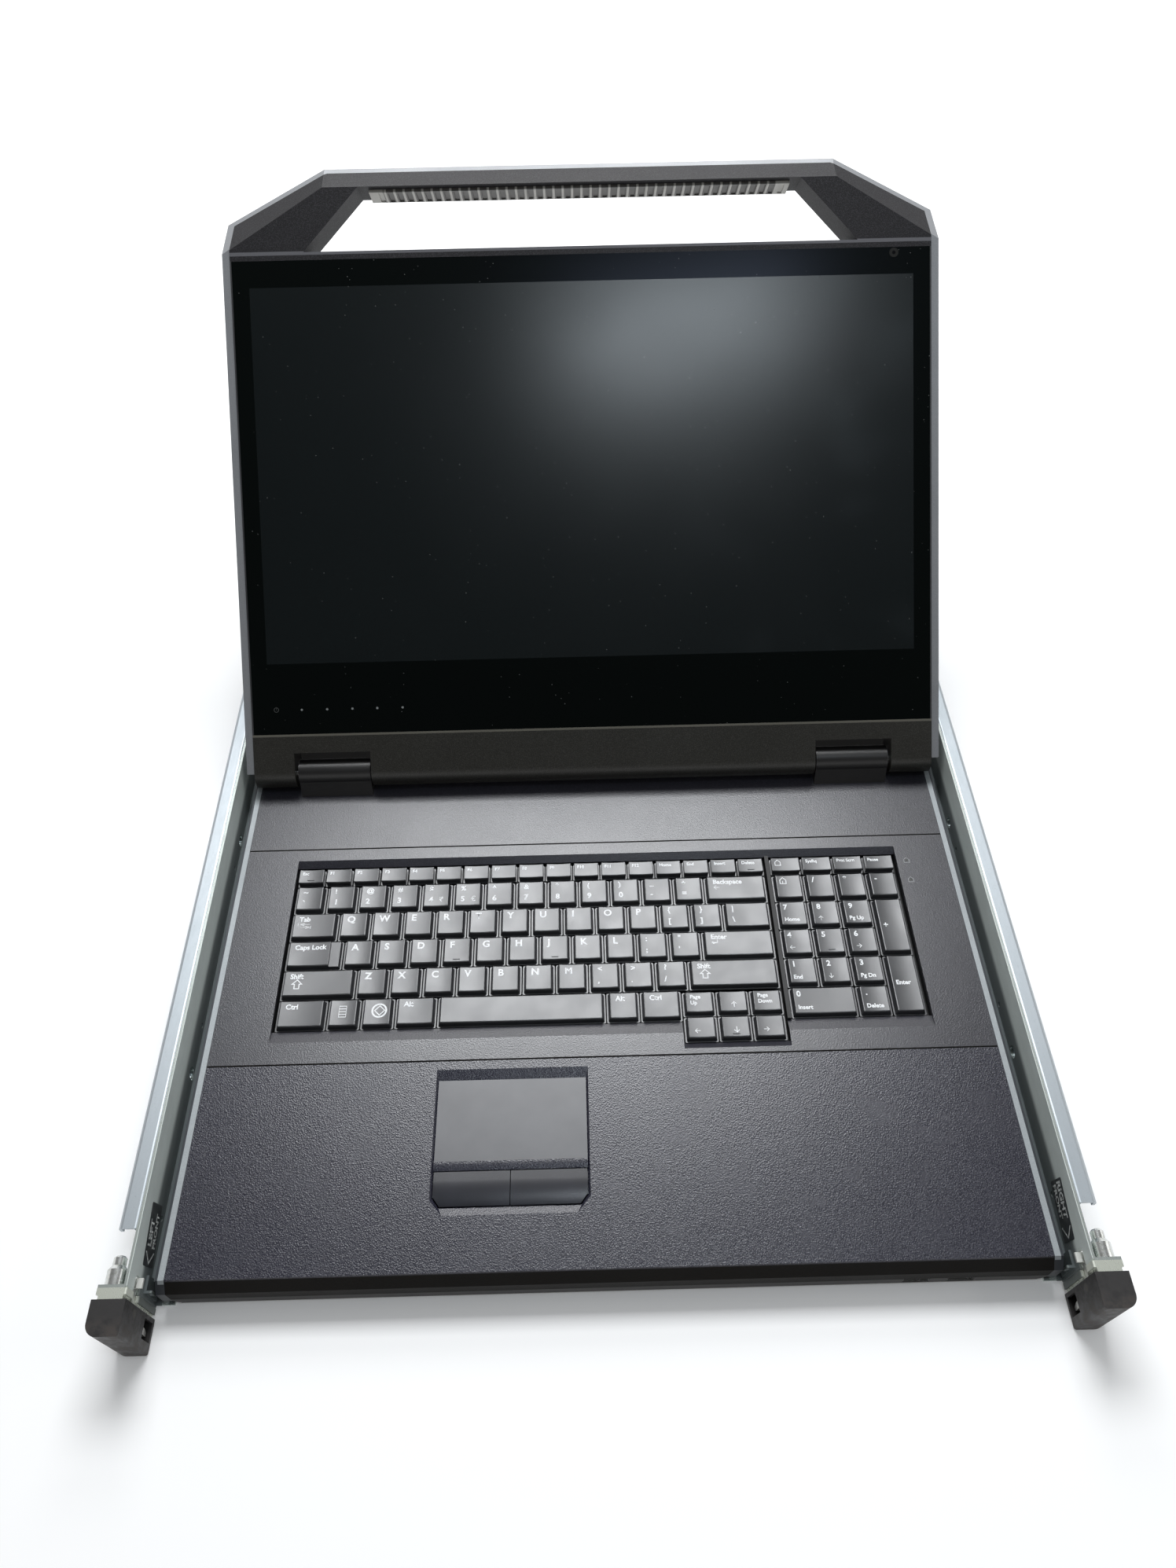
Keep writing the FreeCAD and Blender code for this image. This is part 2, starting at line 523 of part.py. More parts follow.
def rear_bracket():
    """Right rear bracket: a plate in line with the front rail's web, with an ear and its rivets."""
    start = POST_DEPTH - BRACKET_LENGTH
    low, high = RAIL_BOTTOM, RAIL_TOP
    plate = box((RAIL_INNER_X, RAIL_OUTER_X), (start, POST_DEPTH + SHEET), (low, high))
    ear = box((RAIL_INNER_X, EAR_OUTER_X), (POST_DEPTH, POST_DEPTH + SHEET), (low, high))
    bracket = fuse([plate, ear])
    bracket = round_edges(bracket, BEND_R - SHEET / 2, lambda a, b: near(a.x, RAIL_INNER_X)
                          and near(b.x, RAIL_INNER_X) and near(a.y, POST_DEPTH + SHEET)
                          and near(b.y, POST_DEPTH + SHEET))
    bracket = cut(bracket, [at_rear(hole) for hole in stud_holes()])
    outside = RAIL_OUTER_X + SHEET
    rivets = []
    for y, z in rivet_places():
        rivets.append(rod(RIVET_R, (RAIL_OUTER_X, y, z), (outside + RIVET_HEAD, y, z)))
        rivets.append(rod(RIVET_HEAD_R, (outside, y, z), (outside + RIVET_HEAD, y, z)))
    return fuse([bracket] + rivets)


def mount_plate():
    """Right mounting plate and its backer, stacked in front of the ear."""
    half = PLATE_HEIGHT / 2
    plate = box((PLATE_INNER_X, EAR_OUTER_X), (-SHEET - PLATE_THICK, -SHEET), (-half, half))
    backer = box((PLATE_INNER_X + BACKER_INSET, EAR_OUTER_X - BACKER_INSET),
                 (PLATE_FRONT_Y, -SHEET - PLATE_THICK), (-half, half))
    plate = fuse([plate, backer])
    return cut(plate, stud_holes() + [latch_window()])


def rear_plate():
    """Right rear plate, behind the rear ear, as thick as the front stack."""
    half = PLATE_HEIGHT / 2
    plate = box((PLATE_INNER_X, EAR_OUTER_X), (PLATE_FRONT_Y, -SHEET), (-half, half))
    return at_rear(cut(plate, stud_holes()))


# ---- latches --------------------------------------------------------------------------------------
def latch_window():
    """Slot through plates, ear and web that clears the hook over its whole swing."""
    reach = LATCH_ARM_REACH - LATCH_PIVOT_Y
    rise = reach * math.sin(math.radians(LATCH_SWING))
    low = LATCH_PIVOT_Z - LATCH_ARM_HEIGHT / 2 - LATCH_WINDOW_GAP
    high = LATCH_PIVOT_Z + LATCH_ARM_HEIGHT / 2 + rise + LATCH_WINDOW_GAP
    return box((PLATE_INNER_X - OVER, LATCH_X + LATCH_THICK + LATCH_WINDOW_GAP),
               (PLATE_FRONT_Y - OVER, LATCH_ARM_REACH + LATCH_WINDOW_GAP), (low, high))


def latch_lever():
    """Right latch: pivot eye, finger down to the cover's slot and a hook that reaches the post."""
    y, z = LATCH_PIVOT_Y, LATCH_PIVOT_Z
    x = (LATCH_X, LATCH_X + LATCH_THICK)
    half = LATCH_ARM_HEIGHT / 2
    eye = rod(LATCH_EYE_R, (x[0], y, z), (x[1], y, z))
    arm = box(x, (y, LATCH_ARM_REACH), (z - half, z + half))
    tab = box((RAIL_INNER_X - LATCH_TAB_REACH, x[1]),
              (LATCH_ARM_REACH - LATCH_TAB_LENGTH, LATCH_ARM_REACH), (z + half - LATCH_THICK, z + half))
    finger = prism([(y - LATCH_EYE_R, z), (y + half, z), (y - half, LATCH_FINGER_LOW + LATCH_EYE_R),
                    (y - LATCH_EYE_R, LATCH_FINGER_LOW), (y - LATCH_EYE_R - half, LATCH_FINGER_LOW),
                    (y - LATCH_EYE_R - half, LATCH_FINGER_LOW + LATCH_EYE_R)], x[0], x[1], "x")
    bore = rod(LATCH_PIVOT_R + LATCH_PIVOT_GAP, (x[0] - OVER, y, z), (x[1] + OVER, y, z))
    return cut(fuse([eye, arm, tab, finger]), [bore])


def latch_cover():
    """Right latch cover: a hollow moulding in front of the plates, open towards them."""
    half = COVER_HEIGHT / 2
    shell = box((COVER_INNER_X, COVER_OUTER_X), (COVER_FRONT_Y, PLATE_FRONT_Y), (-half, half))
    shell = round_edges(shell, COVER_CORNER_R, lambda a, b: near(a.x, COVER_OUTER_X)
                        and near(b.x, COVER_OUTER_X) and near(a.y, COVER_FRONT_Y)
                        and near(b.y, COVER_FRONT_Y))
    shell = round_edges(shell, COVER_EDGE_R, lambda a, b: near(a.x, COVER_INNER_X)
                        and near(b.x, COVER_INNER_X) and near(a.y, COVER_FRONT_Y)
                        and near(b.y, COVER_FRONT_Y))
    hollow = box((COVER_INNER_X + COVER_WALL, COVER_OUTER_X - COVER_WALL),
                 (COVER_FRONT_Y + COVER_WALL, PLATE_FRONT_Y + OVER),
                 (-half + COVER_WALL, half - COVER_WALL))
    hollow = round_edges(hollow, COVER_CORNER_R - COVER_WALL,
                         lambda a, b: near(a.x, COVER_OUTER_X - COVER_WALL)
                         and near(b.x, COVER_OUTER_X - COVER_WALL)
                         and near(a.y, COVER_FRONT_Y + COVER_WALL)
                         and near(b.y, COVER_FRONT_Y + COVER_WALL))
    slot = box((COVER_INNER_X - OVER, COVER_INNER_X + COVER_WALL + OVER),
               [PLATE_FRONT_Y - y for y in COVER_SLOT_Y], COVER_SLOT_Z)
    pivot = rod(LATCH_PIVOT_R, (COVER_INNER_X - OVER, LATCH_PIVOT_Y, LATCH_PIVOT_Z),
                (COVER_INNER_X + COVER_WALL + OVER, LATCH_PIVOT_Y, LATCH_PIVOT_Z))
    return cut(shell, [hollow, slot, pivot])


def latch_pivot():
    """Right pivot pin with its shoulder, seated in the cover's inner wall."""
    y, z = LATCH_PIVOT_Y, LATCH_PIVOT_Z
    end = LATCH_X + LATCH_THICK + LATCH_SIDE_GAP
    head_end = end + LATCH_HEAD_THICK
    pin = rod(LATCH_PIVOT_R, (COVER_INNER_X, y, z), (head_end, y, z))
    return fuse([pin, rod(LATCH_EYE_R, (end, y, z), (head_end, y, z))])


# ---- slides ---------------------------------------------------------------------------------------
def slide_channel(web_x, lip_x, low, height, sheet, start, length):
    """Straight channel with its web outwards and two flanges towards lip_x."""
    web = box((web_x - sheet, web_x), (start, start + length), (low, low + height))
    flanges = [box((lip_x, web_x), (start, start + length), z)
               for z in ((low, low + sheet), (low + height - sheet, low + height))]
    return fuse([web] + flanges)


def middle_low():
    return SLIDE_LOW + SLIDE_SHEET + GLIDE_THICK


def middle_height():
    return SLIDE_OUTER_HEIGHT - 2 * (SLIDE_SHEET + GLIDE_THICK)


def inner_low():
    return middle_low() + SLIDE_MIDDLE_SHEET + GLIDE_INNER_THICK


def inner_height():
    return middle_height() - 2 * (SLIDE_MIDDLE_SHEET + GLIDE_INNER_THICK)


def slide_outer():
    """Right outer member, fixed to the rail's web, with the stop tab at its front."""
    member = slide_channel(RAIL_INNER_X, SLIDE_LIP_X, SLIDE_LOW, SLIDE_OUTER_HEIGHT, SLIDE_SHEET,
                           SLIDE_START_Y, SLIDE_LENGTH)
    top = STOP_TAB_BOTTOM + STOP_TAB_HEIGHT
    nose = box((RAIL_INNER_X - SLIDE_SHEET, RAIL_INNER_X), (STOP_TAB_Y, SLIDE_START_Y + SLIDE_SHEET),
               (STOP_NOSE_BOTTOM, top))
    tab = box((STOP_TAB_X, RAIL_INNER_X), (STOP_TAB_Y, STOP_TAB_Y + SLIDE_SHEET), (STOP_TAB_BOTTOM, top))
    hole_x = (STOP_TAB_X + RAIL_INNER_X - SLIDE_SHEET) / 2
    hole_z = STOP_TAB_BOTTOM + STOP_TAB_HEIGHT / 2
    hole = rod(STOP_HOLE_R, (hole_x, STOP_TAB_Y - OVER, hole_z),
               (hole_x, STOP_TAB_Y + SLIDE_SHEET + OVER, hole_z))
    return cut(fuse([member, nose, tab]), [hole])


def slide_middle():
    """Right middle member, which moves half as far as the tray."""
    return slide_channel(RAIL_INNER_X - SLIDE_SHEET - SLIDE_WEB_GAP, SLIDE_LIP_X, middle_low(),
                         middle_height(), SLIDE_MIDDLE_SHEET, SLIDE_START_Y, SLIDE_LENGTH)


def slide_glides():
    """Glide blocks on both faces of the middle member's flanges."""
    low, high = middle_low(), middle_low() + middle_height()
    levels = [(low - GLIDE_THICK, low), (high, high + GLIDE_THICK),
              (low + SLIDE_MIDDLE_SHEET, low + SLIDE_MIDDLE_SHEET + GLIDE_INNER_THICK),
              (high - SLIDE_MIDDLE_SHEET - GLIDE_INNER_THICK, high - SLIDE_MIDDLE_SHEET)]
    x = (SLIDE_LIP_X + GLIDE_EDGE,
         RAIL_INNER_X - SLIDE_SHEET - SLIDE_WEB_GAP - SLIDE_MIDDLE_SHEET - GLIDE_EDGE)
    step = (SLIDE_LENGTH - GLIDE_LENGTH) / (GLIDE_COUNT - 1)
    starts = [SLIDE_START_Y + i * step for i in range(GLIDE_COUNT)]
    return Part.makeCompound([box(x, (y, y + GLIDE_LENGTH), z) for y in starts for z in levels])


def slide_inner():
    """Right inner member, a shallow channel screwed to the chassis wall."""
    outer_face = RAIL_INNER_X - SLIDE_SHEET - 2 * SLIDE_WEB_GAP - SLIDE_MIDDLE_SHEET
    low, high = inner_low(), inner_low() + inner_height()
    y = (SLIDE_START_Y, SLIDE_START_Y + SLIDE_LENGTH)
    web = box((CHASSIS_HALF, CHASSIS_HALF + SLIDE_INNER_SHEET), y, (low, high))
    flanges = [box((CHASSIS_HALF, outer_face), y, z)
               for z in ((low, low + SLIDE_INNER_SHEET), (high - SLIDE_INNER_SHEET, high))]
    return fuse([web] + flanges)


# ---- tray -----------------------------------------------------------------------------------------
def chassis():
    """Sheet tub with a front lip, shelves for the cheeks, board posts and rear cut-outs."""
    inner_x = CHASSIS_HALF - CHASSIS_SHEET
    lip_back = TRAY_FRONT_Y + FRONT_WALL
    floor = box((-CHASSIS_HALF, CHASSIS_HALF), (TRAY_FRONT_Y, TRAY_REAR_Y), (TRAY_BOTTOM, FLOOR_TOP))
    lip = box((-TRAY_HALF, TRAY_HALF), (TRAY_FRONT_Y, lip_back), (TRAY_BOTTOM, LIP_TOP))
    lip = round_edges(lip, FRONT_CORNER_R, lambda a, b: near(abs(a.x), TRAY_HALF)
                      and near(a.x, b.x) and near(a.z, TRAY_BOTTOM) and near(b.z, TRAY_BOTTOM))
    rear = box((-CHASSIS_HALF, CHASSIS_HALF), (TRAY_REAR_Y - CHASSIS_REAR_SHEET, TRAY_REAR_Y),
               (TRAY_BOTTOM, PANEL_UNDER))
    pieces = [floor, lip, rear]
    for side in (-1, 1):
        pieces.append(box((side * inner_x, side * CHASSIS_HALF), (lip_back, TRAY_REAR_Y),
                          (TRAY_BOTTOM, CHEEK_BOTTOM)))
        pieces.append(box((side * inner_x, side * CHEEK_OUTER_X), (SLIDE_START_Y, TRAY_REAR_Y),
                          (CHEEK_BOTTOM - CHASSIS_SHEET, CHEEK_BOTTOM)))
    pieces += board_posts()
    tub = fuse(pieces)
    return cut(tub, usb_windows() + socket_windows())


def board_posts():
    """Posts under the controller board's corners, the keyboard base and the click buttons."""
    inset = 2 * POST_R
    corners = [(x, y) for x in (CONTROLLER_X[0] + inset, CONTROLLER_X[1] - inset)
               for y in (CONTROLLER_Y[0] + inset, CONTROLLER_Y[1] - inset)]
    posts = [rod(POST_R, (x, y, FLOOR_TOP), (x, y, FLOOR_TOP + STANDOFF)) for x, y in corners]
    rows = (KEY_WELL_Y[0] + inset, KEY_WELL_Y[1] - inset)
    for x in (KEY_WELL_X[0] - BASE_WALL / 2, KEY_WELL_X[1] + BASE_WALL / 2):
        posts += [rod(POST_R / 2, (x, y, FLOOR_TOP), (x, y, BASE_LOW)) for y in rows]
    stop = PANEL_UNDER - BUTTON_FLANGE_THICK - BUTTON_TRAVEL - SWITCH_GAP
    quarter = (PAD_X[1] - PAD_X[0]) / 4
    posts += [rod(POST_R, (x, sum(BUTTON_Y) / 2, FLOOR_TOP), (x, sum(BUTTON_Y) / 2, stop))
              for x in (PAD_X[0] + quarter, PAD_X[1] - quarter)]
    return posts


def usb_box(x, front, back, grow):
    """Block round one front socket, larger than its shell by grow on each side."""
    return box((x - USB_WIDTH / 2 - grow, x + USB_WIDTH / 2 + grow), (front, back),
               (USB_CENTRE_Z - USB_HEIGHT / 2 - grow, USB_CENTRE_Z + USB_HEIGHT / 2 + grow))


def usb_windows():
    return [usb_box(x, TRAY_FRONT_Y - OVER, TRAY_FRONT_Y + FRONT_WALL + OVER, 0) for x in USB_CENTRES_X]


def usb_sockets():
    """Two plated shells with their tongues, set into the front lip."""
    pieces = []
    back = TRAY_FRONT_Y + USB_DEPTH
    for x in USB_CENTRES_X:
        shell = usb_box(x, TRAY_FRONT_Y + USB_SETBACK, back, 0)
        hollow = usb_box(x, TRAY_FRONT_Y, back - USB_WALL, -USB_WALL)
        tongue = box((x - TONGUE_WIDTH / 2, x + TONGUE_WIDTH / 2),
                     (TRAY_FRONT_Y + TONGUE_SETBACK, back - USB_WALL),
                     (USB_CENTRE_Z, USB_CENTRE_Z + TONGUE_THICK))
        pieces.append(fuse([cut(shell, [hollow]), tongue]))
    return Part.makeCompound(pieces)


def socket_list():
    """Rear sockets: centre in x, then width and height."""
    return [(VIDEO_X, VIDEO_SOCKET), (DATA_X, DATA_SOCKET), (POWER_X, POWER_SOCKET)]


def socket_windows():
    return [box((x - w / 2, x + w / 2), (TRAY_REAR_Y - CHASSIS_REAR_SHEET - OVER, TRAY_REAR_Y + OVER),
                (SOCKET_Z - h / 2, SOCKET_Z + h / 2)) for x, (w, h) in socket_list()]


def rear_sockets():
    """Video, data and power sockets that fill the cut-outs of the rear wall."""
    pieces = []
    for x, (w, h) in socket_list():
        body = box((x - w / 2, x + w / 2), (TRAY_REAR_Y - SOCKET_DEPTH, TRAY_REAR_Y),
                   (SOCKET_Z - h / 2, SOCKET_Z + h / 2))
        mouth = w / 2 - SOCKET_WALL
        hollow = box((x - mouth, x + mouth), (TRAY_REAR_Y - SOCKET_CAVITY, TRAY_REAR_Y + OVER),
                     (SOCKET_Z - h / 2 + SOCKET_WALL, SOCKET_Z + h / 2 - SOCKET_WALL))
        core = box((x - mouth + SOCKET_CORE_GAP, x + mouth - SOCKET_CORE_GAP),
                   (TRAY_REAR_Y - SOCKET_DEPTH, TRAY_REAR_Y - SOCKET_CORE_SETBACK),
                   (SOCKET_Z - SOCKET_CORE_HEIGHT / 2, SOCKET_Z + SOCKET_CORE_HEIGHT / 2))
        pieces.append(fuse([cut(body, [hollow]), core]))
    return Part.makeCompound(pieces)


def cheek():
    """Right side strip, with the tray's bevel at its front and a nose that hides the slide."""
    top_y = TRAY_FRONT_Y + TRAY_BEVEL
    nose_back = TRAY_FRONT_Y + CHEEK_NOSE_LENGTH
    outline = [(top_y, TRAY_TOP), (TRAY_REAR_Y, TRAY_TOP), (TRAY_REAR_Y, CHEEK_BOTTOM),
               (nose_back, CHEEK_BOTTOM), (nose_back, CHEEK_NOSE_BOTTOM),
               (TRAY_FRONT_Y, CHEEK_NOSE_BOTTOM), (TRAY_FRONT_Y, TRAY_TOP - TRAY_BEVEL)]
    return prism(outline, TRAY_HALF, CHEEK_OUTER_X, "x")


def skirts(start, end, low):
    """Side skirts of a top panel."""
    return [box((side * (TRAY_HALF - SKIRT_WALL), side * TRAY_HALF), (start, end), (low, PANEL_UNDER))
            for side in (-1, 1)]


def corner_cut_outline(x, y, corner):
    """Rectangle whose two front corners are cut off."""
    dx, dy = corner
    return [(x[0], y[1]), (x[0], y[0] + dy), (x[0] + dx, y[0]), (x[1] - dx, y[0]), (x[1], y[0] + dy),
            (x[1], y[1])]


def loft(lower, low, upper, high):
    """Straight-sided solid between two outlines at two heights."""
    wires = []
    for points, z in ((lower, low), (upper, high)):
        corners = [Vec(a, b, z) for a, b in points]
        wires.append(Part.makePolygon(corners + corners[:1]))
    return Part.makeLoft(wires, True, True)


def well_floor():
    return TRAY_TOP - WELL_DEPTH


def palm_rest():
    """Front panel with the touchpad well; it bends down into the bevel and the front face."""
    top_y = TRAY_FRONT_Y + TRAY_BEVEL
    bevel_low = TRAY_TOP - TRAY_BEVEL
    lean = SKIN * math.tan(math.radians(22.5))
    back = PALM_SEAM_Y - SEAM_GAP / 2
    outline = [(back, TRAY_TOP), (top_y, TRAY_TOP), (TRAY_FRONT_Y, bevel_low), (TRAY_FRONT_Y, LIP_TOP),
               (TRAY_FRONT_Y + FRONT_WALL, LIP_TOP), (TRAY_FRONT_Y + FRONT_WALL, bevel_low - lean),
               (top_y + lean, PANEL_UNDER), (back, PANEL_UNDER)]
    panel = fuse([prism(outline, -TRAY_HALF, TRAY_HALF, "x")]
                 + skirts(top_y + lean, back, CHEEK_BOTTOM))
    floor = well_floor()
    y = (BUTTON_Y[0] - BUTTON_GAP, PAD_Y[1])
    lower = corner_cut_outline(PAD_X, y, BUTTON_CORNER)
    upper = corner_cut_outline((PAD_X[0] - WELL_SIDE_LIP, PAD_X[1] + WELL_SIDE_LIP),
                               (y[0] - WELL_FRONT_LIP, y[1] + WELL_REAR_LIP), WELL_CORNER)
    well = loft(lower, floor, upper, TRAY_TOP)
    ridge = box(PAD_X, (BUTTON_Y[1] + BUTTON_GAP, PAD_Y[0]), (floor, TRAY_TOP - RIDGE_DROP))
    window = prism(corner_cut_outline(PAD_X, (y[0], BUTTON_Y[1] + BUTTON_GAP), BUTTON_CORNER),
                   PANEL_UNDER - OVER, TRAY_TOP, "z")
    return cut(fuse([cut(panel, [well]), ridge]), [window])


def touchpad_surface():
    """The pad itself, bonded to the floor of its well."""
    return box((PAD_X[0] + PAD_GAP, PAD_X[1] - PAD_GAP), (PAD_Y[0], PAD_Y[1] - PAD_GAP),
               (well_floor(), well_floor() + PAD_THICK))


def click_button(side):
    """Left (-1) or right (+1) click button, held by a flange under the panel."""
    middle = sum(PAD_X) / 2
    outer = PAD_X[0] + BUTTON_GAP if side < 0 else PAD_X[1] - BUTTON_GAP
    inner = middle + side * BUTTON_GAP / 2
    dx, dy = BUTTON_CORNER
    outline = [(inner, BUTTON_Y[1]), (inner, BUTTON_Y[0]), (outer - side * dx, BUTTON_Y[0]),
               (outer, BUTTON_Y[0] + dy), (outer, BUTTON_Y[1])]
    cap = prism(outline, PANEL_UNDER - BUTTON_FLANGE_THICK, TRAY_TOP - BUTTON_DROP, "z")
    flange = box((inner, outer + side * (BUTTON_GAP + BUTTON_FLANGE)),
                 (BUTTON_Y[0] + dy, BUTTON_Y[1] + BUTTON_GAP + BUTTON_FLANGE),
                 (PANEL_UNDER - BUTTON_FLANGE_THICK, PANEL_UNDER))
    return fuse([cap, flange])


def keyboard_bezel():
    """Panel round the keys, with sloping lips into the key well and its arrow-key bay."""
    front = PALM_SEAM_Y + SEAM_GAP / 2
    back = DECK_SEAM_Y - SEAM_GAP / 2
    panel = fuse([box((-TRAY_HALF, TRAY_HALF), (front, back), (PANEL_UNDER, TRAY_TOP))]
                 + skirts(front, back, CHEEK_BOTTOM))
    well_x, (well_front, well_back) = KEY_WELL_X, KEY_WELL_Y
    deep, high = PANEL_UNDER - OVER, TRAY_TOP + OVER
    main = prism([(well_front, deep), (well_front, PANEL_UNDER), (well_front - FRONT_LIP, TRAY_TOP),
                  (well_front - FRONT_LIP, high), (well_back + REAR_LIP, high),
                  (well_back + REAR_LIP, TRAY_TOP), (well_back, PANEL_UNDER), (well_back, deep)],
                 well_x[0], well_x[1], "x")
    bay = prism([(ARROW_WELL_Y, deep), (ARROW_WELL_Y, PANEL_UNDER), (ARROW_WELL_Y - ARROW_LIP, TRAY_TOP),
                 (ARROW_WELL_Y - ARROW_LIP, high), (well_front + OVER, high), (well_front + OVER, deep)],
                ARROW_WELL_X[0], ARROW_WELL_X[1], "x")
    lenses = [rod(LENS_R, (LENS_X, y, deep), (LENS_X, y, high)) for y in LENSES_Y]
    return cut(panel, [main, bay] + lenses)


def indicator_lenses():
    """Lock indicators, flush in the keyboard bezel."""
    return Part.makeCompound([rod(LENS_R, (LENS_X, y, PANEL_UNDER), (LENS_X, y, TRAY_TOP))
                              for y in LENSES_Y])


def rear_deck():
    """Panel behind the keyboard, under the display, down to the tray's rear wall."""
    front = DECK_SEAM_Y + SEAM_GAP / 2
    return fuse([box((-TRAY_HALF, TRAY_HALF), (front, TRAY_REAR_Y), (PANEL_UNDER, TRAY_TOP))]
                + skirts(front, TRAY_REAR_Y, CHEEK_BOTTOM))


def power_supply():
    """Closed supply unit on the chassis floor."""
    case = box(SUPPLY_X, SUPPLY_Y, (FLOOR_TOP, FLOOR_TOP + SUPPLY_HEIGHT))
    return round_edges(case, EDGE_R, lambda a, b: near(a.z, b.z)
                       and near(a.z, FLOOR_TOP + SUPPLY_HEIGHT))


def controller_board():
    """Board with its larger packages, on the chassis posts."""
    low = FLOOR_TOP + STANDOFF
    board = box(CONTROLLER_X, CONTROLLER_Y, (low, low + BOARD_THICK))
    middle = sum(CONTROLLER_X) / 2
    chips = [box((x, x + CHIP_SIZE), (sum(CONTROLLER_Y) / 2, sum(CONTROLLER_Y) / 2 + CHIP_SIZE),
                 (low + BOARD_THICK, low + BOARD_THICK + CHIP_THICK))
             for x in (middle - 2 * CHIP_SIZE, middle + CHIP_SIZE)]
    return fuse([board] + chips)


# ---- keyboard -------------------------------------------------------------------------------------
def rectangle(x, y, w, d):
    return [(x - w / 2, y - d / 2), (x + w / 2, y - d / 2), (x + w / 2, y + d / 2), (x - w / 2, y + d / 2)]


def stem_places(x, y, w):
    """One stem under a key; two under a long bar."""
    if w < LONG_KEY_UNITS * KEY_PITCH:
        return [(x, y)]
    return [(x - w / 4, y), (x + w / 4, y)]


def key(x, y, w, d, inset_x=CAP_INSET_X, inset_y=CAP_INSET_Y, shelf=0.0):
    """One key on the cell centred at x, y: skirt, tapered cap and stem."""
    skirt = box((x - (w - KEY_GAP) / 2, x + (w - KEY_GAP) / 2),
                (y - (d - KEY_GAP) / 2, y + (d - KEY_GAP) / 2), (SKIRT_LOW, SKIRT_TOP))
    foot = min(CAP_FOOT_INSET, inset_x, inset_y)
    top_x = x - shelf / 2
    cap = loft(rectangle(top_x, y, w - shelf - 2 * foot, d - 2 * foot), SKIRT_TOP,
               rectangle(top_x, y, w - shelf - 2 * inset_x, d - 2 * inset_y), KEY_TOP)
    pieces = [skirt, cap]
    if shelf:
        pieces.append(loft(rectangle(x, y, w - 2 * foot, d - 2 * foot), SKIRT_TOP,
                           rectangle(x, y, w - 2 * inset_x, d - 2 * inset_y), KEY_TOP - CAPS_SHELF_DROP))
    half = STEM_SIZE / 2
    pieces += [box((sx - half, sx + half), (sy - half, sy + half), (BASE_TOP - STEM_GRIP, SKIRT_LOW))
               for sx, sy in stem_places(x, y, w)]
    return fuse(pieces)


def spaced(left, widths, pitch=KEY_PITCH):
    """Centre and width of each key in a row that starts at left; widths are in key units."""
    places = []
    for units in widths:
        places.append((left + units * pitch / 2, units * pitch))
        left += units * pitch
    return places


def function_row():
    """Half-depth keys over the main block and over the number pad."""
    units = MAIN_UNITS / FUNCTION_KEY_COUNT
    places = spaced(KEYS_LEFT_X, [units] * FUNCTION_KEY_COUNT)
    places += spaced(NUMPAD_LEFT_X, [1] * NUMPAD_COLUMN_COUNT)
    return [(x, FUNCTION_ROW_Y, w, FUNCTION_DEPTH) for x, w in places]


def modifier_places():
    """Left modifiers, space bar and right modifiers of the front row, in that order."""
    return spaced(KEYS_LEFT_X, LEFT_MODIFIER_UNITS + [SPACE_UNITS] + RIGHT_MODIFIER_UNITS)


def cursor_places():
    """Page up, up, page down, then left, down and right."""
    top = spaced(CURSOR_LEFT_X, [1] * CURSOR_COLUMN_COUNT)
    return [(x, CURSOR_TOP_Y, w, CURSOR_DEPTH) for x, w in top] + \
           [(x, ARROW_ROW_Y, w, CURSOR_DEPTH) for x, w in top]


def numpad_places():
    """Number pad: four columns, with two keys that are two rows deep and one two columns wide."""
    columns = spaced(NUMPAD_LEFT_X, [1] * NUMPAD_COLUMN_COUNT)
    places = [(x, ROW_Y[0], w, KEY_PITCH) for x, w in columns]
    places += [(x, y, w, KEY_PITCH) for y in ROW_Y[1:4] for x, w in columns[:3]]
    tall_x, tall_w = columns[3]
    places += [(tall_x, (ROW_Y[i] + ROW_Y[i + 1]) / 2, tall_w, 2 * KEY_PITCH) for i in (1, 3)]
    zero_x = (columns[0][0] + columns[1][0]) / 2
    places.append((zero_x, ROW_Y[4], 2 * KEY_PITCH, KEY_PITCH))
    places.append((columns[2][0], ROW_Y[4], KEY_PITCH, KEY_PITCH))
    return places


def key_groups():
    """Every key by group: name to a list of x, y, width and depth."""
    def row(y, places):
        return [(x, y, w, KEY_PITCH) for x, w in places]

    modifiers = modifier_places()
    space = len(LEFT_MODIFIER_UNITS)
    return {
        "function_keys": function_row(),
        "number_row_keys": row(ROW_Y[0], spaced(KEYS_LEFT_X, NUMBER_ROW_UNITS)),
        "upper_row_keys": row(ROW_Y[1], spaced(KEYS_LEFT_X, UPPER_ROW_UNITS)),
        "home_row_keys": row(ROW_Y[2], spaced(KEYS_LEFT_X, HOME_ROW_UNITS)),
        "lower_row_keys": row(ROW_Y[3], spaced(KEYS_LEFT_X, LOWER_ROW_UNITS)),
        "modifier_keys": row(ROW_Y[4], modifiers[:space] + modifiers[space + 1:]),
        "space_bar": row(ROW_Y[4], modifiers[space:space + 1]),
        "cursor_keys": cursor_places(),
        "numpad_keys": numpad_places(),
    }


def build_keys():
    for name, places in key_groups().items():
        solids = []
        for index, (x, y, w, d) in enumerate(places):
            if name == "function_keys":
                solids.append(key(x, y, w, d, FUNCTION_INSET_X, FUNCTION_INSET_Y))
            elif name == "home_row_keys" and index == 0:
                solids.append(key(x, y, w, d, shelf=CAPS_STEP))
            else:
                solids.append(key(x, y, w, d))
        parts[name] = Part.makeCompound(solids) if len(solids) > 1 else solids[0]


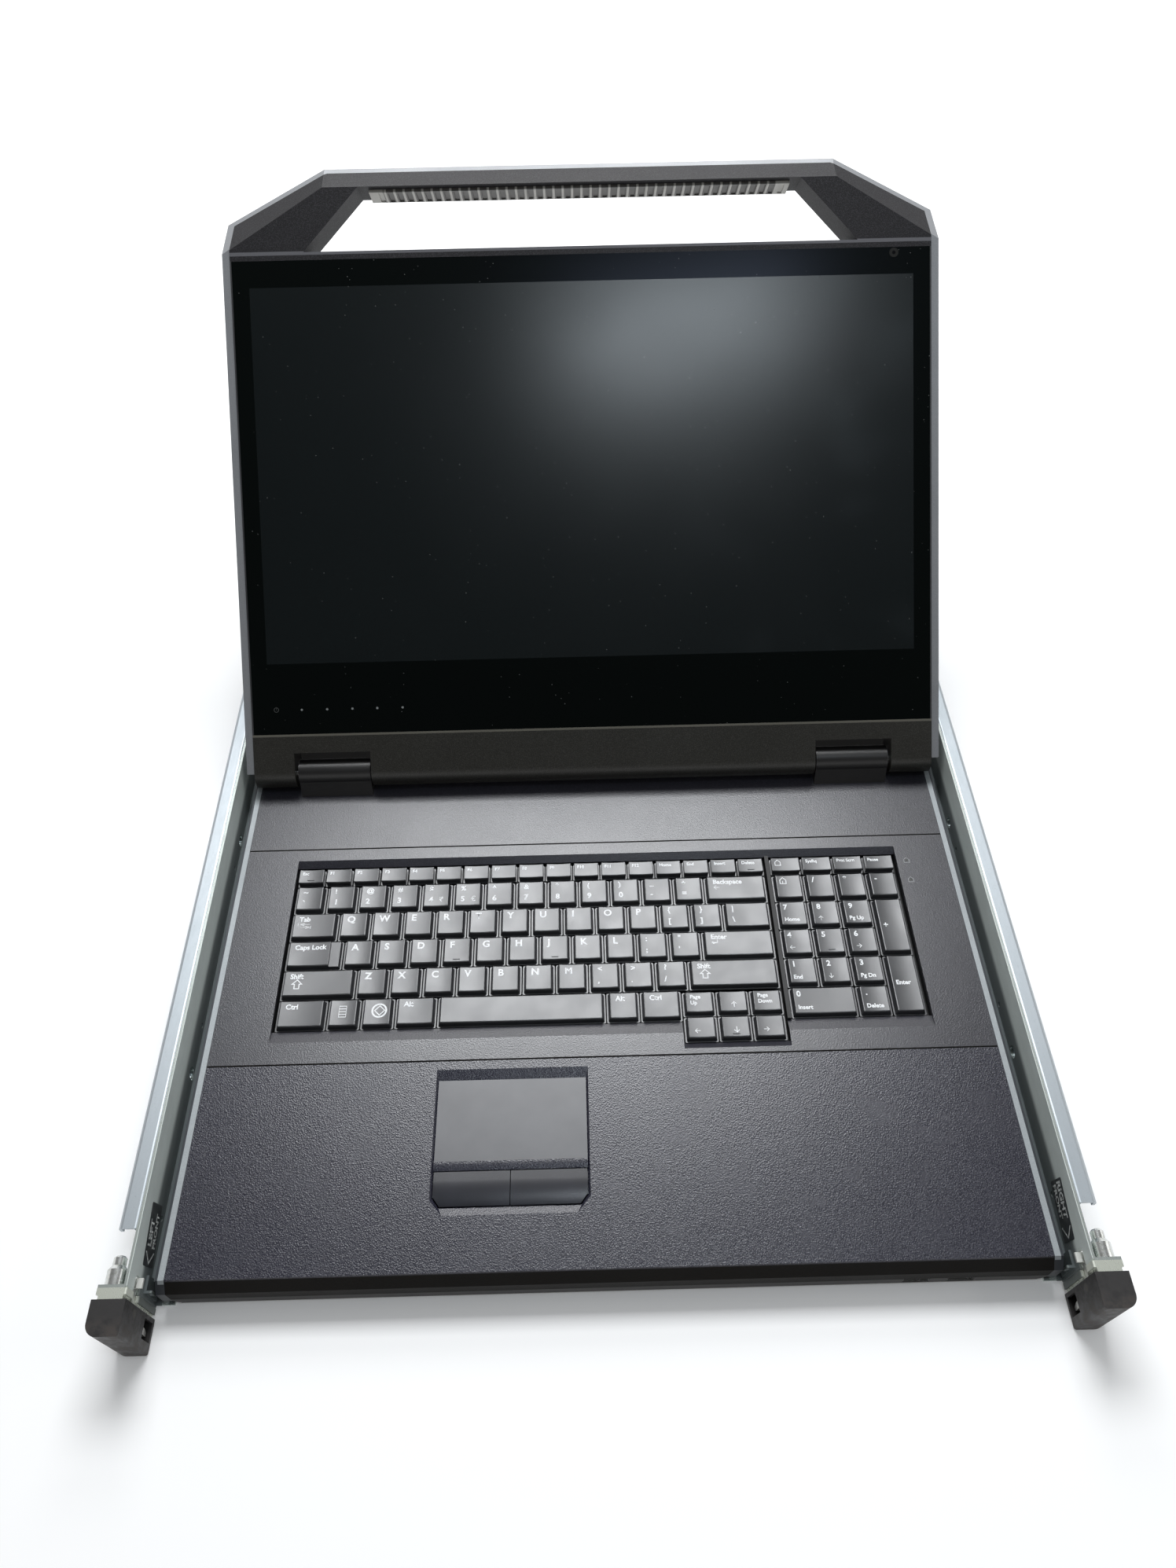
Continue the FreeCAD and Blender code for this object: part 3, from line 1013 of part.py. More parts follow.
def keyboard_base():
    """Base tray under the keys: rim, stem guides and the ridge beside the number pad."""
    x0, x1 = KEY_WELL_X
    y0, y1 = KEY_WELL_Y
    outer = [box((x0 - BASE_WALL, x1 + BASE_WALL), (y0 - BASE_WALL, y1 + BASE_WALL),
                 (BASE_LOW, PANEL_UNDER)),
             box((ARROW_WELL_X[0] - BASE_WALL, ARROW_WELL_X[1] + BASE_WALL),
                 (ARROW_WELL_Y - BASE_WALL, y0), (BASE_LOW, PANEL_UNDER))]
    hollow = [box(KEY_WELL_X, KEY_WELL_Y, (BASE_TOP, PANEL_UNDER + OVER)),
              box(ARROW_WELL_X, (ARROW_WELL_Y, y0 + OVER), (BASE_TOP, PANEL_UNDER + OVER))]
    tray = cut(fuse(outer), hollow)
    ridge = box(DIVIDER_X, (y0, y1), (BASE_TOP, DIVIDER_TOP))
    half = STEM_SIZE / 2 + STEM_CLEARANCE
    guides = [box((sx - half, sx + half), (sy - half, sy + half), (BASE_LOW - OVER, BASE_TOP + OVER))
              for places in key_groups().values() for x, y, w, d in places
              for sx, sy in stem_places(x, y, w)]
    return cut(fuse([tray, ridge]), guides)


# ---- display, drawn flat: x across, y up from the hinge axis, z out of the screen ----------------
def to_open(shape):
    """Turn a display piece from its flat drawing to the open pose on the hinge."""
    opened = shape.copy()
    opened.Placement = FreeCAD.Placement(Vec(0, HINGE_Y, HINGE_Z),
                                         FreeCAD.Rotation(Vec(1, 0, 0), 180 - OPEN_ANGLE))
    return opened


def symmetric(points):
    """Close a right-hand run of points with its mirror image."""
    return points + [(-x, y) for x, y in reversed(points)]


def handle_bevels():
    """Half-space cutters for the three bevels of the handle's front."""
    outer_drop = HALF_THICK - BEVEL_DROP
    cutters = []
    reach = 3 * DISPLAY_THICK
    rise = HANDLE_TOP - TRIM_TOP_WIDTH - OPENING_TOP
    slope = BEVEL_DROP / rise
    top = [(OPENING_TOP, HALF_THICK), (OPENING_TOP + reach, HALF_THICK - slope * reach),
           (OPENING_TOP + reach, HALF_THICK + reach), (OPENING_TOP, HALF_THICK + reach)]
    cutters.append(prism(top, -DISPLAY_HALF, DISPLAY_HALF, "x"))
    start = Vec(GLASS_HALF - CREASE_INSET, GLASS_TOP + CREASE_RISE, HALF_THICK)
    end = Vec(HANDLE_TOP_X, OPENING_TOP, HALF_THICK)
    outward = Vec(HANDLE_TOP_X, HANDLE_TOP - TRIM_TOP_WIDTH, outer_drop)
    along = (start - end).normalize()
    down = (outward - end) - along * (outward - end).dot(along)
    down = down.normalize()
    base = [end - along * DISPLAY_HALF, end + along * DISPLAY_HALF,
            end + along * DISPLAY_HALF + down * reach, end - along * DISPLAY_HALF + down * reach]
    face = Part.Face(Part.makePolygon(base + base[:1]))
    lift = Vec(0, 0, reach)
    corner = face.extrude(lift)
    cutters += [corner, mirrored(corner)]
    return cutters


def upper_outline(start, side, shoulder, top):
    """Outline of the display's upper end, moved inwards at the sides, the shoulders and the top."""
    return symmetric([(DISPLAY_HALF - side, start), (DISPLAY_HALF - side, SHOULDER_V - shoulder),
                      (HANDLE_TOP_X - shoulder, HANDLE_TOP - top)])


def display_trim():
    """Side and top trim band, full depth, following the handle's outline."""
    band = prism(upper_outline(0, 0, 0, 0), -HALF_THICK, HALF_THICK - TRIM_STEP, "z")
    inner = upper_outline(0, TRIM_WIDTH, TRIM_SHOULDER_DROP, TRIM_TOP_WIDTH)
    return cut(band, [prism(inner, -HALF_THICK - OVER, HALF_THICK + OVER, "z")] + handle_bevels())


def handle_opening():
    """The hand opening, wide enough for four fingers of both hands."""
    return prism(symmetric([(OPENING_LOW_X, OPENING_LOW), (OPENING_TOP_X, OPENING_TOP)]),
                 -HALF_THICK - OVER, HALF_THICK + OVER, "z")


def display_handle():
    """Moulded handle frame round the opening, with the ledge above the glass."""
    outline = upper_outline(GLASS_TOP, TRIM_WIDTH, TRIM_SHOULDER_DROP, TRIM_TOP_WIDTH)
    frame = prism(outline, -HALF_THICK, HALF_THICK, "z")
    return cut(frame, [handle_opening()] + handle_bevels())


def grip_insert():
    """Ribbed grip strip on the underside of the handle bar."""
    z = (-HALF_THICK, -HALF_THICK + GRIP_DEPTH)
    strip = box((-GRIP_HALF, GRIP_HALF), (OPENING_TOP - GRIP_THICK, OPENING_TOP), z)
    pitch = 2 * GRIP_HALF / GRIP_RIBS
    grooves = [box((-GRIP_HALF + i * pitch, -GRIP_HALF + (i + 0.5) * pitch),
                   (OPENING_TOP - GRIP_THICK - OVER, OPENING_TOP - GRIP_THICK + GRIP_RIB_DEPTH),
                   (z[0] + GRIP_RIM, z[1] - GRIP_RIM)) for i in range(1, GRIP_RIBS)]
    return cut(strip, grooves)


def hinge_cutouts():
    """Cut-outs round both knuckles, through the whole thickness."""
    right = box(CUTOUT_X, (-DISPLAY_THICK, CUTOUT_TOP), (-DISPLAY_THICK, DISPLAY_THICK))
    return [right, mirrored(right)]


def chin():
    """Lower bezel that ends in the hinge barrel, with bores for the pins."""
    half = COVER_HALF
    barrel = rod(HALF_THICK, (-half, 0, 0), (half, 0, 0))
    body = box((-half, half), (0, GLASS_LOW), (-HALF_THICK + COVER_SHEET, HALF_THICK))
    bores = [rod(PIN_R, (side * (CUTOUT_X[0] - PIN_OVERHANG), 0, 0),
                 (side * (CUTOUT_X[1] + PIN_OVERHANG), 0, 0)) for side in (-1, 1)]
    block = fuse([barrel, body])
    back = box((-half - OVER, half + OVER), (0, GLASS_LOW + OVER),
               (-HALF_THICK - OVER, -HALF_THICK + COVER_SHEET))
    return cut(block, [back] + hinge_cutouts() + bores)


def display_back_cover():
    """Rear shell between the trim bands, with its side walls and the seat of the glass."""
    half = COVER_HALF
    back = box((-half, half), (0, GLASS_TOP), (-HALF_THICK, -HALF_THICK + COVER_SHEET))
    walls = [box((side * (half - COVER_SHEET), side * half), (GLASS_LOW, GLASS_TOP),
                 (-HALF_THICK, GLASS_SEAT)) for side in (-1, 1)]
    walls += [box((side * GLASS_HALF, side * half), (GLASS_LOW, GLASS_TOP), (GLASS_SEAT, HALF_THICK))
              for side in (-1, 1)]
    return cut(fuse([back] + walls), hinge_cutouts())


def cover_glass():
    """Front glass, flush with the chin and the handle's ledge."""
    return box((-GLASS_HALF, GLASS_HALF), (GLASS_LOW, GLASS_TOP), (GLASS_SEAT, HALF_THICK))


def lcd_panel():
    """Panel module bonded behind the glass."""
    return box((-PANEL_HALF, PANEL_HALF), PANEL_V, (GLASS_SEAT - PANEL_THICK, GLASS_SEAT))


def display_board():
    """Driver board on the rear shell and the touch-key strip behind the glass."""
    low = -HALF_THICK + COVER_SHEET
    driver = box((-DRIVER_HALF, DRIVER_HALF), DRIVER_V, (low, low + BOARD_THICK))
    strip = box(TOUCH_X, TOUCH_V, (GLASS_SEAT - BOARD_THICK, GLASS_SEAT))
    return Part.makeCompound([driver, strip])


def hinge_pins():
    """Both hinge pins, fast in the chin's barrel."""
    return Part.makeCompound([rod(PIN_R, (side * (CUTOUT_X[0] - PIN_OVERHANG), 0, 0),
                                  (side * (CUTOUT_X[1] + PIN_OVERHANG), 0, 0)) for side in (-1, 1)])


def hinge_knuckles():
    """Knuckles on the rear deck: a barrel on a flared pedestal, bored for the pin."""
    pieces = []
    for side in (-1, 1):
        x = [side * value for value in KNUCKLE_X]
        barrel = rod(KNUCKLE_R, (x[0], HINGE_Y, HINGE_Z), (x[1], HINGE_Y, HINGE_Z))
        pedestal = prism([(HINGE_Y - KNUCKLE_FOOT_FRONT, TRAY_TOP), (HINGE_Y - KNUCKLE_R, HINGE_Z),
                          (HINGE_Y + KNUCKLE_R, HINGE_Z), (HINGE_Y + KNUCKLE_FOOT_REAR, TRAY_TOP)],
                         min(x), max(x), "x")
        bore = rod(PIN_R + PIN_CLEARANCE, (x[0] - side, HINGE_Y, HINGE_Z), (x[1] + side, HINGE_Y, HINGE_Z))
        pieces.append(cut(fuse([barrel, pedestal]), [bore]))
    return Part.makeCompound(pieces)


# ---- assembly ---------------------------------------------------------------------------------------
def build_rails():
    pair("front_rail", front_rail())
    pair("mount_plate", mount_plate())
    pair("latch_cover", latch_cover())
    pair("latch_lever", latch_lever())
    pair("rear_rail", rear_rail())
    pair("rear_bracket", Part.makeCompound([rear_bracket(), rear_plate()]))
    front_studs = [stud(STUD_X, z, 0, 1, STUD_BASE_R) for z in (-STUD_Z, STUD_Z)]
    parts["front_studs"] = Part.makeCompound(front_studs + [mirrored(s) for s in front_studs])
    rear_studs = [stud(STUD_X, z, POST_DEPTH, -1, REAR_STUD_BASE_R) for z in (-STUD_Z, STUD_Z)]
    pair("rear_studs", Part.makeCompound(rear_studs))
    pivot = latch_pivot()
    parts["latch_pivots"] = Part.makeCompound([pivot, mirrored(pivot)])


def build_slides():
    pair("slide_outer", slide_outer())
    pair("slide_middle", slide_middle())
    pair("slide_glides", slide_glides())
    pair("slide_inner", slide_inner())


def build_tray():
    parts["tray_chassis"] = chassis()
    pair("cheek", cheek())
    parts["palm_rest"] = palm_rest()
    parts["touchpad_surface"] = touchpad_surface()
    parts["left_click_button"] = click_button(-1)
    parts["right_click_button"] = click_button(1)
    parts["keyboard_bezel"] = keyboard_bezel()
    parts["keyboard_base"] = keyboard_base()
    parts["indicator_lenses"] = indicator_lenses()
    parts["rear_deck"] = rear_deck()
    parts["usb_sockets"] = usb_sockets()
    parts["rear_sockets"] = rear_sockets()
    parts["controller_board"] = controller_board()
    parts["power_supply"] = power_supply()
    parts["hinge_knuckles"] = hinge_knuckles()


def build_display():
    pieces = {
        "display_back_cover": display_back_cover(),
        "display_trim": display_trim(),
        "display_chin": chin(),
        "display_handle": display_handle(),
        "grip_insert": grip_insert(),
        "cover_glass": cover_glass(),
        "lcd_panel": lcd_panel(),
        "display_board": display_board(),
        "hinge_pins": hinge_pins(),
    }
    for name, shape in pieces.items():
        parts[name] = to_open(shape)


def main():
    build_rails()
    build_slides()
    build_tray()
    build_keys()
    build_display()
    os.makedirs("parts", exist_ok=True)
    for name, shape in parts.items():
        shape.exportStep(f"parts/{name}.step")
        print(name, len(shape.Solids), "solids", "valid" if shape.isValid() else "INVALID",
              round(shape.Volume / 1000, 2), "cm3")


main()
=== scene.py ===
"""Rack console drawer: keys, lettering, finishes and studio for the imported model.

Lengths marked mm below are turned into metres where they are used. X is to the right,
Y rearwards into the rack and Z up.
"""

import math

import bpy
from mathutils import Matrix, Vector


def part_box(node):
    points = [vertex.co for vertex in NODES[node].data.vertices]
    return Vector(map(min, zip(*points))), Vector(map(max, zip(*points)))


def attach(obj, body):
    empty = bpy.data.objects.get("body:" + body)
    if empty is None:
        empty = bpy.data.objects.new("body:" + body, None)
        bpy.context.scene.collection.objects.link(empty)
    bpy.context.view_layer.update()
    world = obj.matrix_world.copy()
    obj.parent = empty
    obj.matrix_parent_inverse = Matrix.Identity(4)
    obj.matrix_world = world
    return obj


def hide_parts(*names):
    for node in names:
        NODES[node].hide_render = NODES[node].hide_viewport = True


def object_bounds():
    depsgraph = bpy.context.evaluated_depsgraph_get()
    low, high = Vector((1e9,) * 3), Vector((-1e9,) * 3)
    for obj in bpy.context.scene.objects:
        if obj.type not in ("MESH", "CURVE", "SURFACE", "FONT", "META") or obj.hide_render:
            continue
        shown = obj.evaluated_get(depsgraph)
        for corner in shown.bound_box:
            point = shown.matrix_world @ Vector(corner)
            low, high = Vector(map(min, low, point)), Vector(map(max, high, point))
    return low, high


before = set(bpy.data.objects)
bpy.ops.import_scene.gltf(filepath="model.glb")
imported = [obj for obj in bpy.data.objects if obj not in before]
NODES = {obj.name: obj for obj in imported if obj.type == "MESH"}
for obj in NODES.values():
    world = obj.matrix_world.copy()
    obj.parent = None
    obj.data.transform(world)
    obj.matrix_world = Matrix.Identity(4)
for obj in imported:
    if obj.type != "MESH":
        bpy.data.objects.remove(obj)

bl_info = {
    "name": "Rack Console Drawer",
    "version": (1, 0, 0),
    "blender": (4, 5, 0),
    "location": "3D View > Sidebar > Console Drawer",
    "description": "Adds the keys, lettering, finishes and studio of a rack console drawer",
    "category": "Object",
}

MM = 0.001
CAD_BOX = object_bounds()

# ---- sizes in mm ----
KEY_PITCH = 19.05
KEY_GAP = 0.75
CAP_FOOT = 1.1  # from a key's cell to the foot of its tapered cap
CAP_INSET = (2.2, 1.8)  # from a key's cell to the cap's top, in x and y
FUNCTION_INSET = (0.9, 1.25)  # the same for the shallow function keys
SKIRT_LOW, SKIRT_TOP = -3.4, -2.4
KEY_TOP = 1.45
STEM_LOW, STEM_SIZE = -7.5, 3.6
SHELF_WIDTH, SHELF_DROP = 5.2, 1.6  # low right part of the first home-row key
CURSOR_DEPTH = 15.6
DISH_STRIPS = 8
HINGE_Y, HINGE_Z = 311.0, 11.4
OPEN_TILT = math.radians(42.54)  # screen's lean from the deck's plane
SCREEN_FACE = 9.3  # hinge axis to the glass, along the screen's normal
LIT_AREA = (204.9, 69.7, 300.1)  # half-width, low and high edge of the screen's picture
CORNER_DISC = (193.1, 313.1)  # x and place up the screen of the small disc
TOUCH_DOTS = (-184.3, -168.2, -152.2, -136.4, -120.3)
GRIP_RIBS = 45
WEB_X = 225.0  # outer face of the labels on the rails' webs
LABEL_HALF = (14.5, 6.6)
LABEL_SEAT = (27.0, 2.4, 8.0)  # middle y, middle z and turn of the rails' labels
WEB_PAINTED_SHADE = (7.0, 2.0, 420.0, 340.0)  # z from and to, y from and to of the painted shade low on the rails' webs
CHANNEL_TOP = (230.9, 3.2)  # middle and flat half-width of the rear channels' tops
CHEEK_STRIP = (215.8, 218.7, -0.6)  # inner x, outer x and lowest z of the cheeks' paint; beyond the outer x is painted shade on the rounding
SEAMS = (115.0, 257.2)  # y where the tray's moulded panels meet
KNUCKLE_PAINTED_SHADE = (330.5, 336.5, 146.0, 196.0)  # painted shade on the deck behind a knuckle: front, rear, inner, outer
RIDGE = (-49.2, 39.6, 54.9, 59.6)  # before the pad: middle x, half-width, front and rear y
PALM_EDGE = 5.5  # y of the rear edge of the front bevel, which gets painted shade
BUTTON_ROUNDING = 50.5  # y ahead of which the click buttons round over

SCREEN_UP = Vector((0.0, math.cos(OPEN_TILT), math.sin(OPEN_TILT)))
SCREEN_OUT = Vector((0.0, -math.sin(OPEN_TILT), math.cos(OPEN_TILT)))

# Widths of the keys from left to right, in pitches; a gap is negative.
PLAIN_ROWS = {
    "number_row_keys": [1] * 13 + [2],
    "upper_row_keys": [1.5] + [1] * 12 + [1.5],
    "home_row_keys": [1.75] + [1] * 11 + [2.25],
    "lower_row_keys": [2.25] + [1] * 10 + [2.75],
    "modifier_keys": [1.5, 1, 1, 1.25, -5, 1, 1.25],
    "space_bar": [5],
}
ROW_NAMES = list(PLAIN_ROWS) + ["function_keys", "cursor_keys", "numpad_keys"]
# Keys with a raised bar that a finger finds, by their place in the row
BARS = {"function_keys": (0, 16), "home_row_keys": (4, 7), "numpad_keys": (8,),
        "cursor_keys": (4,)}

WHITE = (1.0, 1.0, 1.0)


def srgb(red, green, blue):
    """Colour written as 0-255 values, as the linear value a shader takes."""
    return tuple(c / 12.92 if c <= 0.04045 else ((c + 0.055) / 1.055) ** 2.4
                 for c in (red / 255, green / 255, blue / 255))


def darker(colour, share):
    return tuple(c * share for c in colour)


# ---- settings ----
def colour_setting(name, piece, *default):
    return bpy.props.FloatVectorProperty(name=name, description="Colour of the " + piece,
                                         subtype="COLOR", size=3, min=0.0, max=1.0,
                                         default=srgb(*default))


def length_setting(name, description, default, low=0.0):
    return bpy.props.FloatProperty(name=name, description=description, default=default * MM,
                                   min=low, unit="LENGTH", precision=5)


class KeySettings(bpy.types.PropertyGroup):
    """Sizes and colours of the keys and their lettering"""
    corner: length_setting("Cap corner", "Rounding along the caps' upper edges", 0.45)
    dish: length_setting("Dish", "Depth of the hollow across each cap's top", 0.4)
    letter: length_setting("Letter height", "Height of the capital letters", 4.0)
    cap_colour: colour_setting("Cap colour", "moulded caps", 52, 53, 56)
    legend_colour: colour_setting("Lettering", "printed lettering", 238, 240, 242)


class TraySettings(bpy.types.PropertyGroup):
    """Colours of the tray's mouldings"""
    palm_colour: colour_setting("Palm rest", "grained palm rest", 22, 22, 36)
    deck_colour: colour_setting("Deck", "bezel and rear deck", 36, 36, 43)
    cheek_colour: colour_setting("Side cheeks", "painted cheeks", 156, 161, 164)
    grain: length_setting("Grain", "Size of one pebble of the palm rest's grain", 1.1, 0.0001)


class DisplaySettings(bpy.types.PropertyGroup):
    """Colours of the display"""
    glass_colour: colour_setting("Glass", "dark cover glass", 9, 12, 11)
    trim_colour: colour_setting("Trim", "painted side trim", 134, 136, 139)
    handle_colour: colour_setting("Handle", "handle moulding", 30, 29, 31)
    dust: bpy.props.FloatProperty(
        name="Dust", description="How much dust lies on the glass", subtype="FACTOR",
        default=0.5, min=0.0, max=1.0)


class RailSettings(bpy.types.PropertyGroup):
    """Colours of the rack rails"""
    zinc_colour: colour_setting("Zinc", "zinc-plated sheet", 206, 214, 210)
    cover_colour: colour_setting("Covers", "latch covers", 30, 28, 28)


class StudioSettings(bpy.types.PropertyGroup):
    """Camera and floor"""
    camera_place: bpy.props.FloatVectorProperty(
        name="Camera", description="Where the camera stands", subtype="XYZ", unit="LENGTH",
        size=3, default=(-0.00772, -0.13817, 0.56463))
    lens: bpy.props.FloatProperty(
        name="Lens", description="Focal length of the camera in millimetres",
        default=25.28, min=1.0)
    floor_colour: colour_setting("Floor", "studio floor", 247, 247, 247)


# ---- modelling helpers ----
def leave_edit():
    bpy.ops.object.mode_set(mode="OBJECT")


def select(*pieces):
    """Selects these pieces and no others; the first becomes the active one."""
    if bpy.context.object and bpy.context.object.mode != "OBJECT":
        leave_edit()
    bpy.ops.object.select_all(action="DESELECT")
    for piece in pieces:
        piece.select_set(True)
    if pieces:
        bpy.context.view_layer.objects.active = pieces[0]


def place_applied():
    bpy.ops.object.transform_apply(location=True, rotation=True, scale=True)


def block(name, low, high):
    """A cube primitive between two corners in mm, alone in the selection."""
    select()
    low, high = Vector(low) * MM, Vector(high) * MM
    bpy.ops.mesh.primitive_cube_add(size=1.0, location=(low + high) / 2)
    piece = bpy.context.object
    piece.name = name
    piece.scale = high - low
    place_applied()
    return piece


def choose(kind, test):
    """Selects the faces or edges that pass the test, and leaves the piece in edit mode."""
    piece = bpy.context.object
    if piece.mode != "EDIT":
        bpy.ops.object.mode_set(mode="EDIT")
    bpy.ops.mesh.select_mode(type=kind)
    bpy.ops.mesh.select_all(action="DESELECT")
    leave_edit()
    mesh = piece.data
    if kind == "FACE":
        for face in mesh.polygons:
            face.select = test(face)
    else:
        for edge in mesh.edges:
            edge.select = test(*(mesh.vertices[i].co for i in edge.vertices))
    bpy.ops.object.mode_set(mode="EDIT")


def bevel(test, offset, segments=2):
    """Bevels the edges that pass the test by offset mm, and leaves edit mode."""
    choose("EDGE", test)
    bpy.ops.mesh.bevel(offset=offset * MM, segments=segments)
    leave_edit()


def extrude(x, y, z):
    bpy.ops.mesh.extrude_region_move(
        TRANSFORM_OT_translate={"value": (x * MM, y * MM, z * MM)})


def join(pieces, name):
    select(*pieces)
    if len(pieces) > 1:
        bpy.ops.object.join()
    joined = bpy.context.object
    joined.name = name
    place_applied()
    return joined


def linked(name, data):
    """A new object in the scene that holds a light or a camera."""
    holder = bpy.data.objects.new(name, data)
    bpy.context.scene.collection.objects.link(holder)
    return holder


def copy_at(piece, x=0.0, y=0.0):
    """A copy of a modelled piece with its own mesh, moved by x and y in mm."""
    twin = piece.copy()
    twin.data = piece.data.copy()
    twin.location = (x * MM, y * MM, 0.0)
    bpy.context.scene.collection.objects.link(twin)
    return twin


def apply_modifier(piece, kind, **settings):
    select(piece)
    bpy.ops.object.modifier_add(type=kind)
    modifier = piece.modifiers[-1]
    for key, value in settings.items():
        setattr(modifier, key, value)
    bpy.ops.object.modifier_apply(modifier=modifier.name)


def lay_on(printed, target, gap):
    """Projects lettering straight down on a piece, to gap mm above it."""
    apply_modifier(printed, "SHRINKWRAP", target=target, wrap_method="PROJECT",
                   use_negative_direction=True, use_positive_direction=False,
                   use_project_z=True, offset=gap * MM)


def turned(degrees, axis):
    return Matrix.Rotation(math.radians(degrees), 4, axis)


def moved(x, y, z):
    return Matrix.Translation((x * MM, y * MM, z * MM))


def on_glass(x, up, out):
    """Seat on the open screen: x across and up from the hinge, out of the glass, in mm."""
    point = (Vector((x, HINGE_Y, HINGE_Z)) + up * SCREEN_UP
             + (SCREEN_FACE + out) * SCREEN_OUT)
    return moved(*point) @ Matrix.Rotation(OPEN_TILT, 4, "X")


def pair(*names):
    return [side + name for name in names for side in ("left_", "right_")]


def coat(piece, finish):
    piece.data.materials.clear()
    piece.data.materials.append(finish.material)


def dress(finish, *names):
    """Gives CAD nodes a finish."""
    for name in names:
        coat(NODES[name], finish)


def on_body(piece, body, finish):
    coat(piece, finish)
    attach(piece, body)


# ---- finishes ----
class Nodes:
    """Short ways to add nodes to a tree."""

    def __init__(self, tree):
        self.tree = tree

    def node(self, kind, inputs=(), **settings):
        made = self.tree.nodes.new("ShaderNode" + kind)
        for key, value in settings.items():
            setattr(made, key, value)
        for key, value in dict(inputs).items():
            if isinstance(value, bpy.types.NodeSocket):
                self.tree.links.new(value, made.inputs[key])
            else:
                made.inputs[key].default_value = value
        return made

    def remap(self, value, low, high, to_low=0.0, to_high=1.0):
        return self.node("MapRange", {
            "Value": value, "From Min": low, "From Max": high, "To Min": to_low,
            "To Max": to_high}, interpolation_type="SMOOTHSTEP").outputs["Result"]

    def maths(self, operation, first, second=0.0):
        return self.node("Math", {0: first, 1: second}, operation=operation).outputs[0]

    def plus(self, first, second):
        return self.maths("ADD", first, second)

    def times(self, first, second):
        return self.maths("MULTIPLY", first, second)

    def less(self, first, second):
        return self.maths("SUBTRACT", first, second)

    def most(self, first, second):
        return self.maths("MAXIMUM", first, second)


class Finish(Nodes):
    """A material and short ways to add its detail."""

    def __init__(self, name, colour, roughness, metallic=0.0, shine=0.5):
        self.material = bpy.data.materials.new(name)
        self.material.use_nodes = True
        super().__init__(self.material.node_tree)
        self.shader = self.tree.nodes["Principled BSDF"]
        for socket, value in (("Base Color", (*colour, 1.0)), ("Roughness", roughness),
                              ("Metallic", metallic), ("Specular IOR Level", shine)):
            self.shader.inputs[socket].default_value = value
        self.place = self.node("TexCoord").outputs["Object"]

    def drive(self, socket, value):
        self.tree.links.new(value, self.shader.inputs[socket])

    def stretched(self, x, y, z):
        return self.node("Mapping", {"Vector": self.place, "Scale": (x, y, z)}
                         ).outputs["Vector"]

    def on_screen(self):
        """Place on the open display: X across, Y up from the hinge, Z out of the glass."""
        return self.node("Mapping", {
            "Vector": self.place, "Location": (0.0, HINGE_Y * MM, HINGE_Z * MM),
            "Rotation": (OPEN_TILT, 0.0, 0.0)}, vector_type="TEXTURE").outputs["Vector"]

    def noise(self, size, detail=3.0, place=None, roughness=0.5):
        """Noise whose features are about size mm across."""
        return self.node("TexNoise", {
            "Vector": place or self.place, "Scale": 1.0 / (size * MM), "Detail": detail,
            "Roughness": roughness}).outputs["Fac"]

    def pebbles(self, size, feature="SMOOTH_F1", place=None):
        inputs = {"Vector": place or self.place, "Scale": 1.0 / (size * MM)}
        if feature == "SMOOTH_F1":
            inputs["Smoothness"] = 0.6
        return self.node("TexVoronoi", inputs, feature=feature).outputs["Distance"]

    def along(self, axis, place=None):
        return self.node("SeparateXYZ", {"Vector": place or self.place}).outputs[axis]

    def aside(self):
        """Distance from the middle plane between the rails."""
        return self.maths("ABSOLUTE", self.along("X"))

    def within(self, value, low, high, soft):
        """1 between low and high mm, fading over soft mm."""
        return self.times(self.remap(value, (low - soft) * MM, low * MM),
                          self.remap(value, high * MM, (high + soft) * MM, 1.0, 0.0))

    def blend(self, factor, first, second):
        def value(c):
            return c if isinstance(c, bpy.types.NodeSocket) else (*c, 1.0)
        return self.node("Mix", {0: factor, 6: value(first), 7: value(second)},
                         data_type="RGBA").outputs[2]

    def mottle(self, size, detail, low, high, first, second):
        """Blends two base colours in patches of size mm."""
        self.drive("Base Color", self.blend(
            self.remap(self.noise(size, detail), low, high), first, second))

    def bumpy(self, height, strength, depth, under=None):
        inputs = {"Height": height, "Strength": strength, "Distance": depth * MM}
        if under:
            inputs["Normal"] = under
        normal = self.node("Bump", inputs).outputs["Normal"]
        self.drive("Normal", normal)
        return normal

    def rounded(self, past, steepness):
        """Height of a surface that falls off with the square of the way past an edge."""
        return self.times(self.times(past, past), -steepness / MM / MM)


def ink(name, size, detail, first, second, high=0.7):
    """Printing ink that wears in patches of size mm."""
    made = Finish(name, second, 0.5)
    made.mottle(size, detail, 0.35, high, first, second)
    return made


def speckled(name, roughness, first, second, patches, grain):
    """A plain finish. Patches are a noise's size and detail and the limits between which it
    blends the two colours; grain is a noise's size and detail and its bump's strength and
    depth."""
    made = Finish(name, first, roughness)
    made.mottle(*patches, first, second)
    made.bumpy(made.noise(*grain[:2]), *grain[2:])
    return made


